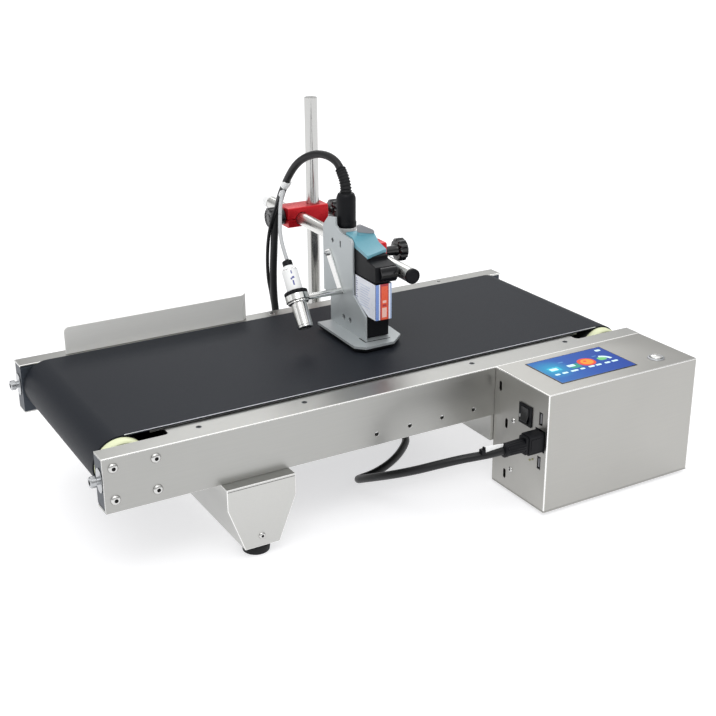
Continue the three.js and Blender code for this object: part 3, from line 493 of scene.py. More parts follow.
def prism(bm, axis, outline, low, high, place=MACHINE, index=0):
    """Adds an outline in (y,z), (x,z) or (x,y), pushed along an axis, to a bmesh."""
    put = {"x": lambda u, v, d: (d, u, v), "y": lambda u, v, d: (u, d, v),
           "z": lambda u, v, d: (u, v, d)}[axis]
    bottom = [bm.verts.new(place @ Vector(put(u, v, low))) for u, v in outline]
    top = [bm.verts.new(place @ Vector(put(u, v, high))) for u, v in outline]
    faces = [bm.faces.new(bottom), bm.faces.new(top)]
    for i in range(len(outline)):
        j = (i + 1) % len(outline)
        faces.append(bm.faces.new((bottom[i], bottom[j], top[j], top[i])))
    for face in faces:
        face.material_index = index


def rounded(u0, u1, v0, v1, radius, steps=6):
    """The outline of a rounded rectangle."""
    points = []
    for cu, cv, start in ((u1 - radius, v0 + radius, -90), (u1 - radius, v1 - radius, 0),
                          (u0 + radius, v1 - radius, 90), (u0 + radius, v0 + radius, 180)):
        for i in range(steps + 1):
            turn = math.radians(start + 90 * i / steps)
            points.append((cu + radius * math.cos(turn), cv + radius * math.sin(turn)))
    return points


def along(axis, centre, place=MACHINE):
    """A matrix that puts a lathe piece's Z along an axis through a centre; '-y' turns it round."""
    turn = {"x": Matrix.Rotation(math.pi / 2, 4, "Y"), "-x": Matrix.Rotation(-math.pi / 2, 4, "Y"),
            "y": Matrix.Rotation(-math.pi / 2, 4, "X"), "-y": Matrix.Rotation(math.pi / 2, 4, "X"),
            "z": Matrix.Identity(4), "-z": Matrix.Rotation(math.pi, 4, "X")}[axis]
    return place @ Matrix.Translation(centre) @ turn


# ---- cords ----------------
SPAN_STEPS = 40  # the steps of a curve between two of its points, before they are spaced evenly


def smooth_route(points, steps, place=MACHINE):
    """Evenly spaced points along a centripetal Catmull-Rom curve, and its length."""
    pts = [place @ Vector(p) for p in points]
    ends = [pts[0] * 2 - pts[1]] + pts + [pts[-1] * 2 - pts[-2]]
    spans = []
    for i in range(len(pts) - 1):
        p0, p1, p2, p3 = ends[i:i + 4]
        d0 = max((p1 - p0).length ** 0.5, 1e-6)
        d1 = max((p2 - p1).length ** 0.5, 1e-6)
        d2 = max((p3 - p2).length ** 0.5, 1e-6)
        m1 = ((p1 - p0) / d0 - (p2 - p0) / (d0 + d1) + (p2 - p1) / d1) * d1
        m2 = ((p2 - p1) / d1 - (p3 - p1) / (d1 + d2) + (p3 - p2) / d2) * d1
        spans.append((p1, p2, m1, m2))
    fine = []
    for p1, p2, m1, m2 in spans:
        for k in range(SPAN_STEPS):
            t = k / SPAN_STEPS
            a = 2 * t ** 3 - 3 * t ** 2 + 1
            b = t ** 3 - 2 * t ** 2 + t
            c = -2 * t ** 3 + 3 * t ** 2
            d = t ** 3 - t ** 2
            fine.append(p1 * a + m1 * b + p2 * c + m2 * d)
    fine.append(pts[-1].copy())
    total = [0.0]
    for a, b in zip(fine, fine[1:]):
        total.append(total[-1] + (b - a).length)
    route = []
    j = 0
    for i in range(steps + 1):
        want = total[-1] * i / steps
        while j < len(fine) - 2 and total[j + 1] < want:
            j += 1
        span = max(total[j + 1] - total[j], 1e-9)
        route.append(fine[j].lerp(fine[j + 1], min(1.0, (want - total[j]) / span)))
    return route, total[-1]


def sweep(bm, route, radius, sides):
    """Adds a round tube along points to a bmesh; radius is a number or one for each point, in metres."""
    last = len(route) - 1
    tangents = [(route[min(i + 1, last)] - route[max(i - 1, 0)]).normalized() for i in range(last + 1)]
    side = tangents[0].orthogonal().normalized()
    rings = []
    for i, (point, tangent) in enumerate(zip(route, tangents)):
        side = (side - tangent * side.dot(tangent)).normalized()
        other = tangent.cross(side)
        r = radius[i] if isinstance(radius, (list, tuple)) else radius
        rings.append([bm.verts.new(point + (side * math.cos(k / sides * math.tau)
                                            + other * math.sin(k / sides * math.tau)) * r)
                      for k in range(sides)])
    for low, high in zip(rings, rings[1:]):
        for k in range(sides):
            m = (k + 1) % sides
            bm.faces.new((low[k], low[m], high[m], high[k]))
    bm.faces.new(rings[0][::-1])
    bm.faces.new(rings[-1])


CABLE_R = 4.0
LEAD_R = 1.9
CORD_SIDES = 14
FINE_SIDES = 28
HEAD_CABLE_LOOP = [(38.3, 51.5, 288.7), (37.2, 57.2, 293.9), (34.2, 65.5, 298), (30.6, 77, 299),
                   (27, 88, 296.9), (23, 100, 291.6), (19.7, 112, 282.7), (17.8, 124, 270),
                   (17.1, 135, 256.6)]
HEAD_CABLE_DROP = [(17.1, 135.2, 256.3), (16.8, 143, 245), (15.8, 149, 230), (13, 153, 204),
                   (11, 153, 180), (9.5, 153, 155), (9, 152, 130), (10, 151, 108), (9, 149, 85),
                   (5, 146, 60), (1, 141, 38), (3, 131, 20), (11, 116, 9.5), (25, 98, 6), (44, 77, 5),
                   (64, 55, 5), (80, 33, 5), (86, 10, 5), (79, -11, 5), (61, -31, 5), (40, -47, 5),
                   (21, -57, 5), (5, -63, 5.5), (-10, -69, 8), (-18.5, -80, 14), (-20.5, -98, 23.5),
                   (-18.5, -118, 33.5), (-13.5, -140, 44.5), (-4, -162, 56), (9, -179, 65.5),
                   (24, -190.5, 71.5), (38, -196.8, 73.8), (50, -199.4, 74.4), (62.7, -200, 74.5)]
SENSOR_LEAD_ROOT = [(-27.2, 45.2, 205.4), (-27.3, 50, 212), (-26.8, 56, 220), (-24.5, 64, 229.3),
                    (-20.5, 71.8, 236.3), (-16.2, 79.8, 241.3)]
SENSOR_LEAD_LOOP = [(-15.9, 80.4, 241.6), (-11, 89.4, 245.8), (-4.5, 100.5, 249.6), (3.2, 113, 252.9),
                    (8.6, 121, 254), (11.4, 127.5, 252.6), (12.6, 133, 249.2)]
SENSOR_LEAD_DROP = [(12.7, 133.4, 248.8), (12.8, 137.3, 244.2), (12, 142.3, 236.5), (8.5, 150, 217),
                    (6.5, 156, 195), (5.8, 159, 170), (6.5, 159.4, 148), (9, 159.6, 132), (11, 159, 116),
                    (15, 157, 95), (26, 152, 75), (46, 148, 63), (68, 145, 57.5), (92, 143, 57),
                    (108, 139, 58.5), (115, 133, 60), (116, 129.2, 60)]


def cord_piece(name, points, radius, node, material, steps):
    """A cord along its points: a round tube swept through them, in place of its CAD node."""
    route, length = smooth_route(points, steps)
    bm = bmesh.new()
    sweep(bm, route, radius * MM, CORD_SIDES)
    obj = link_mesh(name, bm, material, None, 60)
    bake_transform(obj)
    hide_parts(node)
    return obj


PORT_Y = -200.0
SOCKET_Z = 74.5

# the data cable's plug: a stepped body, a fluted grip and a white tag in a small clip
bm = bmesh.new()
prism(bm, "x", rounded(-206.5, -193.5, 64.7, 84.3, 1.8), 88.5, 105.2)
prism(bm, "x", rounded(-205.6, -194.4, 65.8, 83.2, 1.8), 85.4, 88.6)
block(bm, 90.5, 103, -207.0, -206.4, 68.5, 80.5)
body = soften(link_mesh("box_plug_body", bm, black_plastic, "machine"), 0.5)
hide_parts("box_plug")
turned("box_plug_grip", [(0, 0), (5.6, 0), (6.7, 0.7), (6.7, 3.4), (5.7, 4.2), (6.1, 5.4), (6.6, 20.5),
                         (6.2, 22.8), (0, 22.8)], along("x", (63, PORT_Y, SOCKET_Z)), black_plastic,
       "machine", 108, ripple=(18, 0.35, 5, 21))
bm = bmesh.new()
prism(bm, "y", [(42.5, 77.5), (63.5, 78.6), (63.5, 81.4), (43.5, 83.4)], -200.6, -199.4)
soften(link_mesh("cable_tag", bm, white_plastic, "machine"), 0.25)
bm = bmesh.new()
block(bm, 38.6, 42.8, -202.4, -197.0, 76.4, 81.2)
block(bm, 41.4, 43.2, -201.6, -198.0, 80.8, 83.2)
soften(link_mesh("tag_clip", bm, black_plastic, "machine"), 0.6)

cord_piece("data_cable_loop", HEAD_CABLE_LOOP, CABLE_R, "head_cable_loop", jacket, 40)
cord_piece("data_cable_drop", HEAD_CABLE_DROP, CABLE_R, "head_cable_drop", jacket, 170)
cord_piece("sensor_lead_first", SENSOR_LEAD_ROOT, LEAD_R, "sensor_lead_root", grey_jacket, 24)
cord_piece("sensor_lead_middle", SENSOR_LEAD_LOOP, LEAD_R, "sensor_lead_loop", grey_jacket, 24)
cord_piece("sensor_lead_last", SENSOR_LEAD_DROP, LEAD_R, "sensor_lead_drop", jacket, 90)


# ---- conveyor ----------------
RAIL_TOP = 123.0
AXLE_Z = 100.5
ROLLER_X = 259.7
RAIL_END = 286.2
FRONT = -RAIL_Y

refined("front_rail", rail_steel, "machine", 0.9, 3, painted_highlight_steel, folds=True)
refined("back_rail", rail_steel, "machine", 0.7, 3, painted_highlight_steel)
refined("slider_bed", stainless_x, "machine", 0.3)
refined("bed_frame", bare_steel, "machine", 0.4)
refined("conveyor_belt", belt_skin, "machine", 0.35)
refined("guide_plate", matte_steel, "machine", 0.25)
refined("left_support", stainless_y, "machine", 0.6, 3, painted_highlight_steel)
refined("right_support", stainless_x, "machine", 0.6, 3)
for end in ("tail", "drive"):
    for side in ("front", "back"):
        refined(f"{end}_block_{side}", dark_block, "machine", 0.7)
    refined(f"{end}_roller", alloy, f"{end}_roller_set", 0.4)

# the belt's pale fabric core shows along its front edge
bm = bmesh.new()
block(bm, -255, 255, -97.08, -96.9, 125.1, 125.7)
link_mesh("belt_core", bm, label_paper, "machine")

# pale end caps of the rollers: a soft outer edge, a recessed face and a hub
CAP_OUTER = 106.6
CAP_DEPTH = 9.0
for end, x in (("tail", -ROLLER_X), ("drive", ROLLER_X)):
    for side, sign, radius in (("front", -1, 23.6), ("back", 1, 22.8)):
        profile = [(6.3, 0), (radius, 0), (radius, 7.2), (radius - 0.5, 8.2), (radius - 1.6, CAP_DEPTH),
                   (17.5, CAP_DEPTH), (16.6, 8.4), (16.2, 6.4), (11.5, 6.2), (11.0, 8.2), (10.4, 8.6),
                   (6.3, 8.6), (6.3, 0)]
        axis = "-y" if sign < 0 else "y"
        start = sign * (CAP_OUTER - CAP_DEPTH)
        turned(f"{end}_cap_{side}_shape", profile, along(axis, (x, start, AXLE_Z)), yellow_plastic,
               f"{end}_roller_set", 72, [f"{end}_cap_{side}"])

# rubber feet
FEET = (("front_left", -151.6, -126), ("back_left", -151.6, 126), ("back_right", 149, 112))
for name, x, y in FEET:
    profile = [(0, 0), (11.4, 0), (12.2, 0.6), (13, 6.6), (12.7, 8.2), (11.5, 9.6), (0, 9.7)]
    turned(f"foot_{name}_shape", profile, along("z", (x, y, 0)), rubber, "machine", 48,
           [f"foot_{name}"])


def screw(name, kind, place, body, size=1.0, material=None):
    """A small screw head whose socket is painted dark as painted shade, its axis along +Z of the place and
    its seat at 0.
    """
    if kind == "button":
        profile = [(0, 0.9), (1.6, 0.9), (1.75, 2.3), (2.8, 2.2), (3.9, 1.5), (4.6, 0.3), (4.6, 0), (0, 0)]
    elif kind == "socket":
        profile = [(0, 1.4), (1.5, 1.4), (1.5, 3.0), (2.4, 3.0), (2.75, 2.7), (2.75, 0), (0, 0)]
    else:
        profile = [(0, 0.05), (1.9, 0.05), (2.1, 0.16), (2.9, 0.18), (3.1, 0.05), (3.1, -0.2), (0, -0.6)]
    scaled = [(r * size, d * size) for r, d in profile]
    turned(name, scaled, place, [material or screw_steel, painted_shade], body, 24, inner=2)


RAIL_SCREW_Z = (113.4, 84.3)
FLANGE_SCREW_Y = -109.5
BACK_FLANGE_SCREW_Y = 120
count = 0
for x in (-277, -240):
    for z in RAIL_SCREW_Z:
        count += 1
        screw(f"rail_screw_front_{count}", "button", along("-y", (x, FRONT, z)), "machine")
        screw(f"rail_screw_back_{count}", "button", along("y", (x, -FRONT, z)), "machine")
for count, x in enumerate((240, 277), 1):
    for level, z in zip(("upper", "lower"), RAIL_SCREW_Z):
        screw(f"rail_screw_drive_{level}_{count}", "button", along("y", (x, -FRONT, z)), "machine")
for count, x in enumerate((-193, -91, 91, 205), 1):
    place = along("z", (x, FLANGE_SCREW_Y, RAIL_TOP))
    screw(f"flange_screw_{count}", "countersunk", place, "machine", size=0.85, material=dark_block)
for count, x in enumerate((-191, -10, 85, 205), 1):
    place = along("z", (x, BACK_FLANGE_SCREW_Y, RAIL_TOP))
    screw(f"back_flange_screw_{count}", "countersunk", place, "machine")

# the left support's screw, and a dark strip of painted shade for the gap under its top
screw("support_screw", "button", along("-y", (-152, -140.5, 20.5)), "machine", size=0.72)
bm = bmesh.new()
block(bm, -182.6, -118, -140.56, -139.5, 70.3, 70.75)
link_mesh("support_gap_shade", bm, painted_shade, "machine")

# belt tension bolts, each in a bright oval washer at the tail end
for side, y in (("front", -119), ("back", 119)):
    profile = [(0, 5.6), (2.4, 5.6), (2.4, 8.5), (4.2, 8.5), (4.9, 7.8), (4.9, 3.8), (4.5, 3.5), (3.3, 3.5),
               (3.3, -13.4), (0, -13.4)]
    place = along("-x", (-RAIL_END, y, AXLE_Z))
    # the bolt head's socket is painted dark: painted shade
    turned(f"tension_bolt_{side}_shape", profile, place, [bare_steel, painted_shade], f"bolt_{side}",
           36, [f"tension_bolt_{side}"], inner=2)
    bm = bmesh.new()
    prism(bm, "x", rounded(y - 6.6, y + 6.6, AXLE_Z - 11, AXLE_Z + 11, 6.4, 8), -RAIL_END - 0.6,
          -RAIL_END - 0.02)
    soften(link_mesh(f"tension_washer_{side}", bm, bare_steel, "machine"), 0.2)


# ---- control box ----------------
BOX_LEFT = 105.5
SCREEN = (133.0, 224.5, -194.4, -138.3)
refined("control_box_cover", box_steel, "machine", 1.4, 3, painted_highlight_steel, folds=True)
refined("control_box_base", box_steel, "machine", 0.4)
refined("box_pad", rubber, "machine", 0.4)

# the touch screen: black glass with a lit picture of plain tiles
GLASS_TOP = 123.4
refined("touch_screen", black_gloss, "machine", 0.25)


def picture_material():
    """Blue that deepens to the right, with a cyan glow behind the first tile."""
    material, tree, shader = new_material("screen_picture")
    nodes, links = tree.nodes, tree.links
    shader.inputs["Roughness"].default_value = 0.3
    shader.inputs["Specular IOR Level"].default_value = 0.1
    shader.inputs["Emission Strength"].default_value = 0.75
    coords = nodes.new("ShaderNodeTexCoord")
    split = nodes.new("ShaderNodeSeparateXYZ")
    links.new(coords.outputs["Object"], split.inputs["Vector"])
    across = remapped(tree, split.outputs["X"], [at(x, 0, 0).x for x in SCREEN[:2]])
    ramp = nodes.new("ShaderNodeValToRGB")
    ramp.color_ramp.elements[0].color = srgb(16, 80, 140)
    ramp.color_ramp.elements[1].color = srgb(8, 48, 124)
    middle = ramp.color_ramp.elements.new(0.5)
    middle.color = srgb(12, 60, 132)
    links.new(across, ramp.inputs["Fac"])
    reach = nodes.new("ShaderNodeVectorMath")
    reach.operation = "DISTANCE"
    reach.inputs[1].default_value = at(147, -163, GLASS_TOP)
    links.new(coords.outputs["Object"], reach.inputs[0])
    glow = remapped(tree, reach.outputs["Value"], (0.003, 0.022), (0.85, 0.0))
    color = mixed(tree, glow, ramp.outputs["Color"], srgb(16, 128, 158))
    links.new(color, shader.inputs["Base Color"])
    links.new(color, shader.inputs["Emission Color"])
    return material


def circle(u, v, ru, rv, steps=36, start=0, end=360):
    """Points on an ellipse, all of it or a stretch in degrees."""
    whole = end - start >= 360
    count = steps if whole else steps + 1
    turns = [math.radians(start + (end - start) * i / steps) for i in range(count)]
    return [(u + ru * math.cos(t), v + rv * math.sin(t)) for t in turns]


def tile(u, v, width, height, corner=0.8):
    """The outline of a rounded rectangle round its middle."""
    return rounded(u - width / 2, u + width / 2, v - height / 2, v + height / 2, corner, 4)


LIT = 0.5
LIT_TONES = (("white", 186, 214, 218), ("cyan", 40, 160, 184), ("green", 34, 128, 112),
             ("leaf", 96, 168, 104), ("red", 196, 62, 40), ("amber", 226, 132, 38), ("pale", 70, 120, 170))
WHITE, CYAN, GREEN, LEAF, RED, AMBER, PALE = range(len(LIT_TONES))
lit_materials = [make_material(f"lit_{name}", srgb(*tone), 0.3, scale=300, tone=0.02, specular=0.1,
                               emission=LIT) for name, *tone in LIT_TONES]

PICTURE_EDGE = 1.0
LAYER = 0.03
bm = bmesh.new()
prism(bm, "z", rounded(SCREEN[0] + PICTURE_EDGE, SCREEN[1] - PICTURE_EDGE, SCREEN[2] + PICTURE_EDGE,
                       SCREEN[3] - PICTURE_EDGE, 0.8, 4), GLASS_TOP, GLASS_TOP + LAYER)
link_mesh("screen_picture", bm, picture_material(), "machine")

# each tile: its outline, its material and its layer
TILES = [(tile(148.5, -163.5, 13, 9.5), CYAN, 0), (tile(147.5, -163.8, 8.5, 5.2), WHITE, 1),
         (tile(171, -166.5, 11.5, 9.5), GREEN, 0), (tile(168, -164.2, 8.4, 5), WHITE, 1),
         (circle(187, -164, 9.5, 9), RED, 0), (circle(187.8, -163.8, 6.6, 6), AMBER, 1),
         (circle(186.6, -162, 1.9, 1.6), RED, 2), (tile(205.6, -164.6, 9, 7.5, 2.4), LEAF, 0),
         (circle(204, -169, 12, 11.5, 14, 5, 78) + circle(203, -169.5, 9.6, 8.6, 14, 5, 78)[::-1], WHITE, 1),
         (tile(164.4, -152.6, 6, 1.8, 0.6), PALE, 0), (tile(202.8, -156.2, 5, 1.6, 0.6), PALE, 0),
         (tile(216, -146, 6.4, 4, 1.6), WHITE, 0)]
for x, width in ((143, 5.6), (152, 6.6), (163.2, 8.4), (173, 5.4), (184, 7), (192.6, 6.6), (203.6, 6.4),
                 (212.6, 7.2)):
    TILES.append((tile(x, -175.4, width, 3.2, 1.2), WHITE, 1))
bm = bmesh.new()
for outline, index, layer in TILES:
    base = GLASS_TOP + LAYER + LAYER * layer
    prism(bm, "z", outline, base, base + LAYER, index=index)
link_mesh("screen_tiles", bm, lit_materials, "machine")

# the domed start button in its ring
BUTTON_PLACE = along("z", (252.7, -189.3, 0))
turned("button_ring", [(6.02, 122.9), (8.4, 122.9), (8.4, 123.3), (7.9, 123.8), (6.6, 123.9), (6.02, 123.5),
                       (6.02, 122.9)], BUTTON_PLACE, bare_steel, "machine", 48)
dome = [(5.6 * math.cos(math.radians(a)), 124.0 + 2.0 * math.sin(math.radians(a))) for a in range(0, 91, 10)]
turned("push_button_shape", [(0, 104), (4, 104), (4, 108), (5.6, 108)] + dome[:-1] + [(0, 126.0)],
       BUTTON_PLACE, polished, "button", 48, ["push_button"])

# mains rocker, sockets, lamps and cover screws on the left face
refined("rocker_housing", black_plastic, "machine", 0.5, 3)
refined("power_rocker", black_gloss, "rocker", 0.5, 3)
bm = bmesh.new()
block(bm, 104.22, 104.3, -170.7, -170.0, 87.5, 90.5)
link_mesh("rocker_mark", bm, white_plastic, "machine")

USB_Z = (51.5, 95.8)


def shell(bm, z, half_y, half_z, wall, index):
    """Adds the four walls of a square socket that faces left."""
    x0, x1 = BOX_LEFT + 0.3, BOX_LEFT + 5.6
    y0, y1, z0, z1 = PORT_Y - half_y, PORT_Y + half_y, z - half_z, z + half_z
    block(bm, x0, x1, y0, y0 + wall, z0, z1, index=index)
    block(bm, x0, x1, y1 - wall, y1, z0, z1, index=index)
    block(bm, x0, x1, y0 + wall, y1 - wall, z0, z0 + wall, index=index)
    block(bm, x0, x1, y0 + wall, y1 - wall, z1 - wall, z1, index=index)


bm = bmesh.new()
block(bm, BOX_LEFT + 5.5, BOX_LEFT + 7.1, -208, -188.5, 38, 108)
for z in USB_Z:
    shell(bm, z, 2.3, 6.3, 0.5, 1)
    block(bm, BOX_LEFT + 0.4, BOX_LEFT + 5.5, PORT_Y - 0.1, PORT_Y + 0.9, z - 4.6, z + 4.6, index=2)
shell(bm, SOCKET_Z, 7.1, 10.7, 1.2, 3)
ports = link_mesh("port_board_shape", bm, [board_green, black_gloss, grey_plastic, black_plastic], "machine")
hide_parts("port_board")
for count, (y, z) in enumerate(((-186.5, 48.7), (-190.7, 51.3)), 1):
    turned(f"status_lamp_{count}", [(0, -0.4), (1.1, -0.4), (1.1, 0.3), (0.8, 0.8), (0, 1.0)],
           along("-x", (BOX_LEFT, y, z)), lamp_glass, "machine", 20)
for count, (y, z) in enumerate(((-159.3, 78.6), (-158.2, 26.4)), 1):
    screw(f"cover_screw_{count}", "button", along("-x", (BOX_LEFT, y, z)), "machine", size=0.62)

# inside the box
for node, material in (("control_board", board_green), ("power_supply", alloy), ("drive_motor", dark_block),
                       ("driven_pulley", alloy), ("motor_pulley", alloy), ("timing_belt", rubber)):
    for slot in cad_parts[node].material_slots:
        slot.material = material

# ---- pole, clamps and rod ----------------
ROD = (62.7, 203.5)
refined("pole_bracket", stainless_x, "machine", 0.5)
refined("pole", pole_steel, "machine", 0.5, 3)
refined("rod", satin_rod, "print_head", 0.4, 3)
refined("cross_clamp", red_metal, "clamp", 0.7, 3)
refined("head_clamp", red_metal, "print_head", 0.7, 3)
turned("rod_cap_front_shape", [(0, 0), (7.45, 0), (7.45, 2.9), (6.9, 3.6), (5.7, 3.7), (5.3, 3.1), (0, 3.1)],
       along("-y", (ROD[0], -59.3, ROD[1]), HEAD), black_plastic, "print_head", 48,
       ["rod_cap_front"])
turned("rod_cap_back", [(7.3, 0), (7.7, 0.2), (7.7, 10.6), (6.9, 11.4), (0, 11.5), (0, 10.2), (7.3, 10.2),
                        (7.3, 0)], along("y", (ROD[0], 264, ROD[1]), HEAD), white_plastic, "print_head",
       48)

# the knobs: a hub under the same lobed grip, on a threaded stem
KNOB_LOBES = 12
THREAD_PITCH = 0.8
THREAD_ROOT, THREAD_CREST = 2.3, 2.65
SMALL_HUB = [(0, 6.4), (4.6, 6.4), (5.4, 7.0), (6.2, 9.4)]
LONG_HUB = [(0, -5.9), (4.6, -5.9), (5.2, 6.6), (6.2, 9.4)]
WIDE_HUB = [(0, 0.5), (8.5, 0.5), (9, 1.0), (9, 7.6), (8.4, 9.4)]
LOBED_GRIP = [(10.2, 9.4), (11.2, 10.4), (11.35, 12), (11.35, 16.5), (11.1, 17.8), (10.1, 18.9), (8.8, 19.0),
              (8.1, 18.4), (4.6, 18.3), (4.1, 18.9), (0, 18.9)]
for name, x, axis, y, z, screw_depth, lift, hub in (("pole_knob", 95.4, "x", 196, 205.3, 4, 0, SMALL_HUB),
                                                    ("rod_knob", 45.8, "-x", 196, 205.3, 8.2, 0, WIDE_HUB),
                                                    ("head_knob", 77, "x", 24, ROD[1], 5, 6.5, LONG_HUB)):
    place = along(axis, (x, y, z), HEAD)
    grip = [(r, d + lift) for r, d in hub + LOBED_GRIP]
    turned(f"{name}_grip", grip, place, black_gloss, name, KNOB_LOBES * 8, [name],
           ripple=(KNOB_LOBES, 0.75, 10 + lift, 18.5 + lift))
    stem = hub[0][1] + lift + 0.1
    thread = [(0, -screw_depth)]
    for i in range(int((stem + screw_depth) / THREAD_PITCH)):
        low = -screw_depth + THREAD_PITCH * i
        thread += [(THREAD_ROOT, low), (THREAD_CREST, low + THREAD_PITCH / 2)]
    thread += [(THREAD_ROOT, stem), (0, stem)]
    turned(f"{name}_screw", thread, place, screw_steel, name, 24)

# ---- print head ----------------
refined("head_bracket", bracket_paint, "print_head", 0.35, 2, painted_highlight_steel)
refined("skid_plate", black_plastic, "print_head", 0.5)

# a strip of black rubber material filling the foot's slot, as painted shade, and a thin dark sheet of painted
# shade behind the plate's holes
bm = bmesh.new()
block(bm, 26.75, 28.15, -31.95, -18.05, 130, 132.55, HEAD)
block(bm, 28.15, 55.35, -31.95, -30.55, 130, 132.55, HEAD)
link_mesh("slot_painted_shade", bm, rubber, "print_head")
bm = bmesh.new()
block(bm, 30.58, 30.72, -1, 45, 134, 226, HEAD)
link_mesh("plate_holes_painted_shade", bm, painted_shade, "print_head")
refined("pen_stall", black_plastic, "print_head", 0.5)

# the white collar under the head's plug
PLUG_AT = (43.5, 38.3)
PLUG_PLACE = along("z", (*PLUG_AT, 0), HEAD)
turned("neck_collar", [(9.1, 226.2), (9.5, 226.2), (10.9, 231.2), (10.9, 231.7), (9.1, 231.7), (9.1, 226.2)],
       PLUG_PLACE, white_plastic, "print_head", 48)

# head plug with a ribbed, bent boot
turned("head_plug_body", [(0, 232), (10.2, 232), (10.3, 232.4), (10.3, 236.6), (9.9, 237.2), (9.7, 238.4),
                          (9.7, 261), (9.2, 263.2), (8.2, 265.4), (7.4, 266), (0, 266)],
       PLUG_PLACE, black_plastic, "print_head", 72, ["head_plug"],
       ripple=(36, 0.12, 239, 262))
BOOT = [(*PLUG_AT, 265), (43.5, 39.3, 273), (43.5, 43.3, 281), (43.5, 49.6, 287.6)]
BOOT_STEPS = 60
BOOT_RIBS = 9
route, _ = smooth_route(BOOT, BOOT_STEPS, HEAD)
ribs = [(5.7 + 0.55 * math.cos(i / BOOT_STEPS * BOOT_RIBS * math.tau) - 0.7 * i / BOOT_STEPS) * MM
        for i in range(BOOT_STEPS + 1)]
bm = bmesh.new()
sweep(bm, route, ribs, FINE_SIDES)
link_mesh("head_plug_boot", bm, rubber, "print_head", 50)

# the latch: a black arm over the cartridge, a teal press plate with a finger tongue, a glossy front tab
LATCH_X = (31.2, 54.4)
HINGE = (10, 221)
arm_front = [(-45, 196), (-5, 196), (-4, 197), (-4, 222), (-28, 217.6), (-28, 214.6), (-45, 212)]
arm_cheek = [(-4.1, 197), (-1, 200), (3, 209), (7, 217), (13, 217), (14, 221), (14, 228), (-4.1, 222)]
bm = bmesh.new()
prism(bm, "x", arm_front, *LATCH_X, HEAD)
prism(bm, "x", arm_cheek, LATCH_X[0], 39.4, HEAD)
prism(bm, "x", arm_cheek, 46.6, LATCH_X[1], HEAD)
soften(link_mesh("latch_arm", bm, black_plastic, "latch"), 0.5)
turned("latch_pin", [(0, 0), (1.6, 0), (1.6, 22), (0, 22)], along("x", (32.5, *HINGE), HEAD), screw_steel,
       "latch", 20)
bm = bmesh.new()
plate = [(-33, 216.2), (-26, 217), (-4, 221), (16, 228), (16, 232.6), (2, 231), (-6, 225), (-33, 219)]
prism(bm, "x", plate, LATCH_X[0] - 0.15, 56.5, HEAD)
cut_from, cut_to = Vector((LATCH_X[0], -29.5, 0)), Vector((56.5, -21.5, 0))
cut = cut_to - cut_from
bmesh.ops.bisect_plane(bm, geom=bm.verts[:] + bm.edges[:] + bm.faces[:], plane_co=HEAD @ cut_from,
                       plane_no=HEAD.to_3x3() @ Vector((cut.y, -cut.x, 0)), clear_outer=True)
bmesh.ops.holes_fill(bm, edges=[e for e in bm.edges if e.is_boundary])
prism(bm, "y", [(38.5, 224), (56, 224), (56, 231.2), (50, 232), (38.5, 234.6)], 2.6, 6, HEAD)
for x0, x1 in ((38.5, 43.2), (51, 56)):
    prism(bm, "x", [(2.7, 223), (0.4, 223), (1.2, 229), (2.7, 231.6)], x0, x1, HEAD)
press = soften(link_mesh("latch_plate", bm, teal, "latch"), 0.5, 3)
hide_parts("latch")
bm = bmesh.new()
prism(bm, "y", [(38.2, 234.5), (50, 231.9), (56.3, 231.1), (56.3, 233.2), (54.7, 235.3), (42.1, 241.7),
                (39.4, 241.7), (38.2, 240.4)], 2.2, 6.4, HEAD)
soften(link_mesh("latch_lip", bm, grey_plastic, "latch"), 0.7, 3)
bm = bmesh.new()
prism(bm, "x", [(-44.6, 211.5), (-47, 211), (-49.2, 206.2), (-49, 203), (-46.6, 198), (-44.6, 197)], 35.6,
      LATCH_X[1], HEAD)
soften(link_mesh("latch_tab", bm, black_gloss, "latch"), 0.8, 3)

# the cartridge with its printed label: plain stripes and marks
refined("cartridge", black_plastic, "cartridge", 0.5)
bm = bmesh.new()
prism(bm, "x", [(-44.6, 158.5), (-30.2, 158.3), (-4.2, 169.6), (-4.2, 194.6), (-44.6, 194.6)], 31.03, 31.19,
      HEAD)
for i in range(10):
    z = 191.5 - 2.3 * i
    block(bm, 30.98, 31.04, -5.2 - 2.2 - (i % 3), -5.2, z - 0.3, z + 0.3, HEAD, 1)
for i in range(9):
    z = 188 - 2.6 * i
    block(bm, 30.99, 31.04, -34 + (i % 4) * 1.3, -14, z - 0.22, z + 0.22, HEAD, 2)
link_mesh("label_side", bm, [label_paper, label_ink, label_sky], "cartridge")
BLUE, PAPER, DARK_RED, ORANGE, SKY_BLUE, PINK = range(6)
LABEL_Z = (158.4, 194.6)
STRIPES = ((31.25, 34.9, BLUE), (34.9, 36.1, PAPER), (36.1, 37.6, DARK_RED), (37.6, 44.6, ORANGE),
           (44.6, 45.6, DARK_RED), (45.6, 47.2, PAPER), (47.2, 48.8, SKY_BLUE))
MARKS = ((38.3, 43.4, 160.8, 170.6, PINK), (39, 43, 175.4, 178, PINK), (38.8, 43, 171.9, 174, DARK_RED),
         (37.6, 44.6, 192.4, 194.6, DARK_RED))
bm = bmesh.new()
for x0, x1, index in STRIPES:
    block(bm, x0, x1, -45.16, -45.01, *LABEL_Z, HEAD, index)
for x0, x1, z0, z1, index in MARKS:
    block(bm, x0, x1, -45.21, -45.01, z0, z1, HEAD, index)
front_materials = [label_blue, label_paper, label_red, label_orange, label_sky, label_pink]
link_mesh("label_front", bm, front_materials, "cartridge")

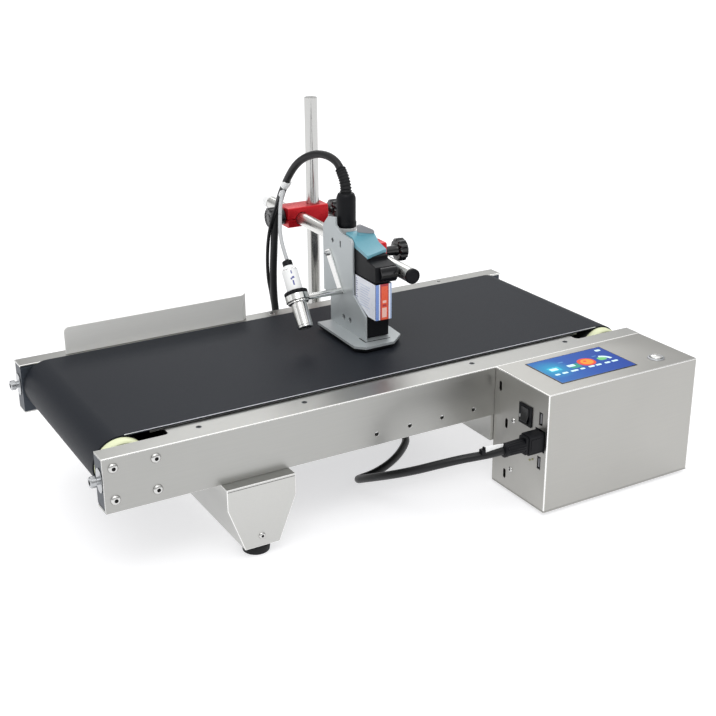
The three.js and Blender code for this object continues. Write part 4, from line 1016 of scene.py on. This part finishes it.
# ---- product sensor ----------------
SENSOR_PLACE = HEAD @ Matrix.Translation((-22, 19, 171.5)) @ Matrix.Rotation(math.radians(-35), 4, "X")
refined("sensor_arm", polished, "sensor_set", 0.3)
barrel = [(6.3, -31), (7.2, -31), (7.7, -30.4), (7.7, -28.6), (8, -28.2), (8, 29.4), (7.4, 30.2), (0, 30.2),
          (0, -29.6), (6.3, -29.6), (6.3, -31)]
turned("sensor_barrel", barrel, SENSOR_PLACE, polished, "sensor_set", 64, ["sensor"])
turned("sensor_lens", [(0, -31.2), (4.8, -30.9), (6.2, -30.2), (6.2, -29.2), (0, -29.2)], SENSOR_PLACE,
       black_gloss, "sensor_set", 48)
turned("sensor_sleeve", [(0, 7.4), (8.08, 7.4), (8.1, 28.6), (7.4, 30.4), (5.4, 33.4), (4.2, 34.6),
                         (0, 34.8)], SENSOR_PLACE, white_plastic, "sensor_set", 64)
turned("sensor_gland", [(0, 34), (4.5, 34), (5.1, 34.6), (5.1, 38.6), (4.5, 39.6), (3.4, 40), (0, 40)],
       SENSOR_PLACE, black_plastic, "sensor_set", 48)
bm = bmesh.new()
for turn, low, wide, tall in ((252, 12, 1.5, 5), (258, 19, 2.4, 2), (244, 18, 1.6, 2), (255, 24, 1.2, 3.4)):
    spot = SENSOR_PLACE @ Matrix.Rotation(math.radians(turn), 4, "Z")
    block(bm, 7.6, 8.16, -wide / 2, wide / 2, low, low + tall, spot)
link_mesh("sensor_marks", bm, label_ink, "sensor_set")
turned("sensor_nut", [(8.1, 3.3), (11.2, 3.3), (11.6, 3.8), (11.6, 6.6), (11.1, 7.2), (8.1, 7.2), (8.1, 3.3)],
       SENSOR_PLACE, black_plastic, "sensor_set", 96, ripple=(24, 0.3, 3.5, 7))
turned("sensor_back_nut", [(8.1, -5.4), (10.2, -5.4), (10.6, -5), (10.6, -3.8), (10.2, -3.3), (8.1, -3.3),
                           (8.1, -5.4)], SENSOR_PLACE, polished, "sensor_set", 96,
       ripple=(24, 0.2, -5.2, -3.4))
for count, (y, z) in enumerate(((48.2, 203.4), (20.5, 170.8)), 1):
    screw(f"strap_screw_{count}", "socket", along("-x", (26.6, y, z), HEAD), "sensor_set", size=0.9,
          material=bare_steel)

# white ties where the lead joins the data cable
TIE_STEPS = 12
TIES = (("cable_tie", [(18.3, 129.5, 262.6), (17.6, 131.8, 259.4), (17.05, 135.2, 256.3)], 4.7),
        ("lead_tie", [(12.2, 131, 250.6), (12.6, 133.1, 249), (12.75, 135, 246.8)], 2.7))
for name, points, radius in TIES:
    route, _ = smooth_route(points, TIE_STEPS)
    bm = bmesh.new()
    sweep(bm, route, radius * MM, FINE_SIDES)
    soften(link_mesh(name, bm, white_plastic, "clamp", 50), 0.3)
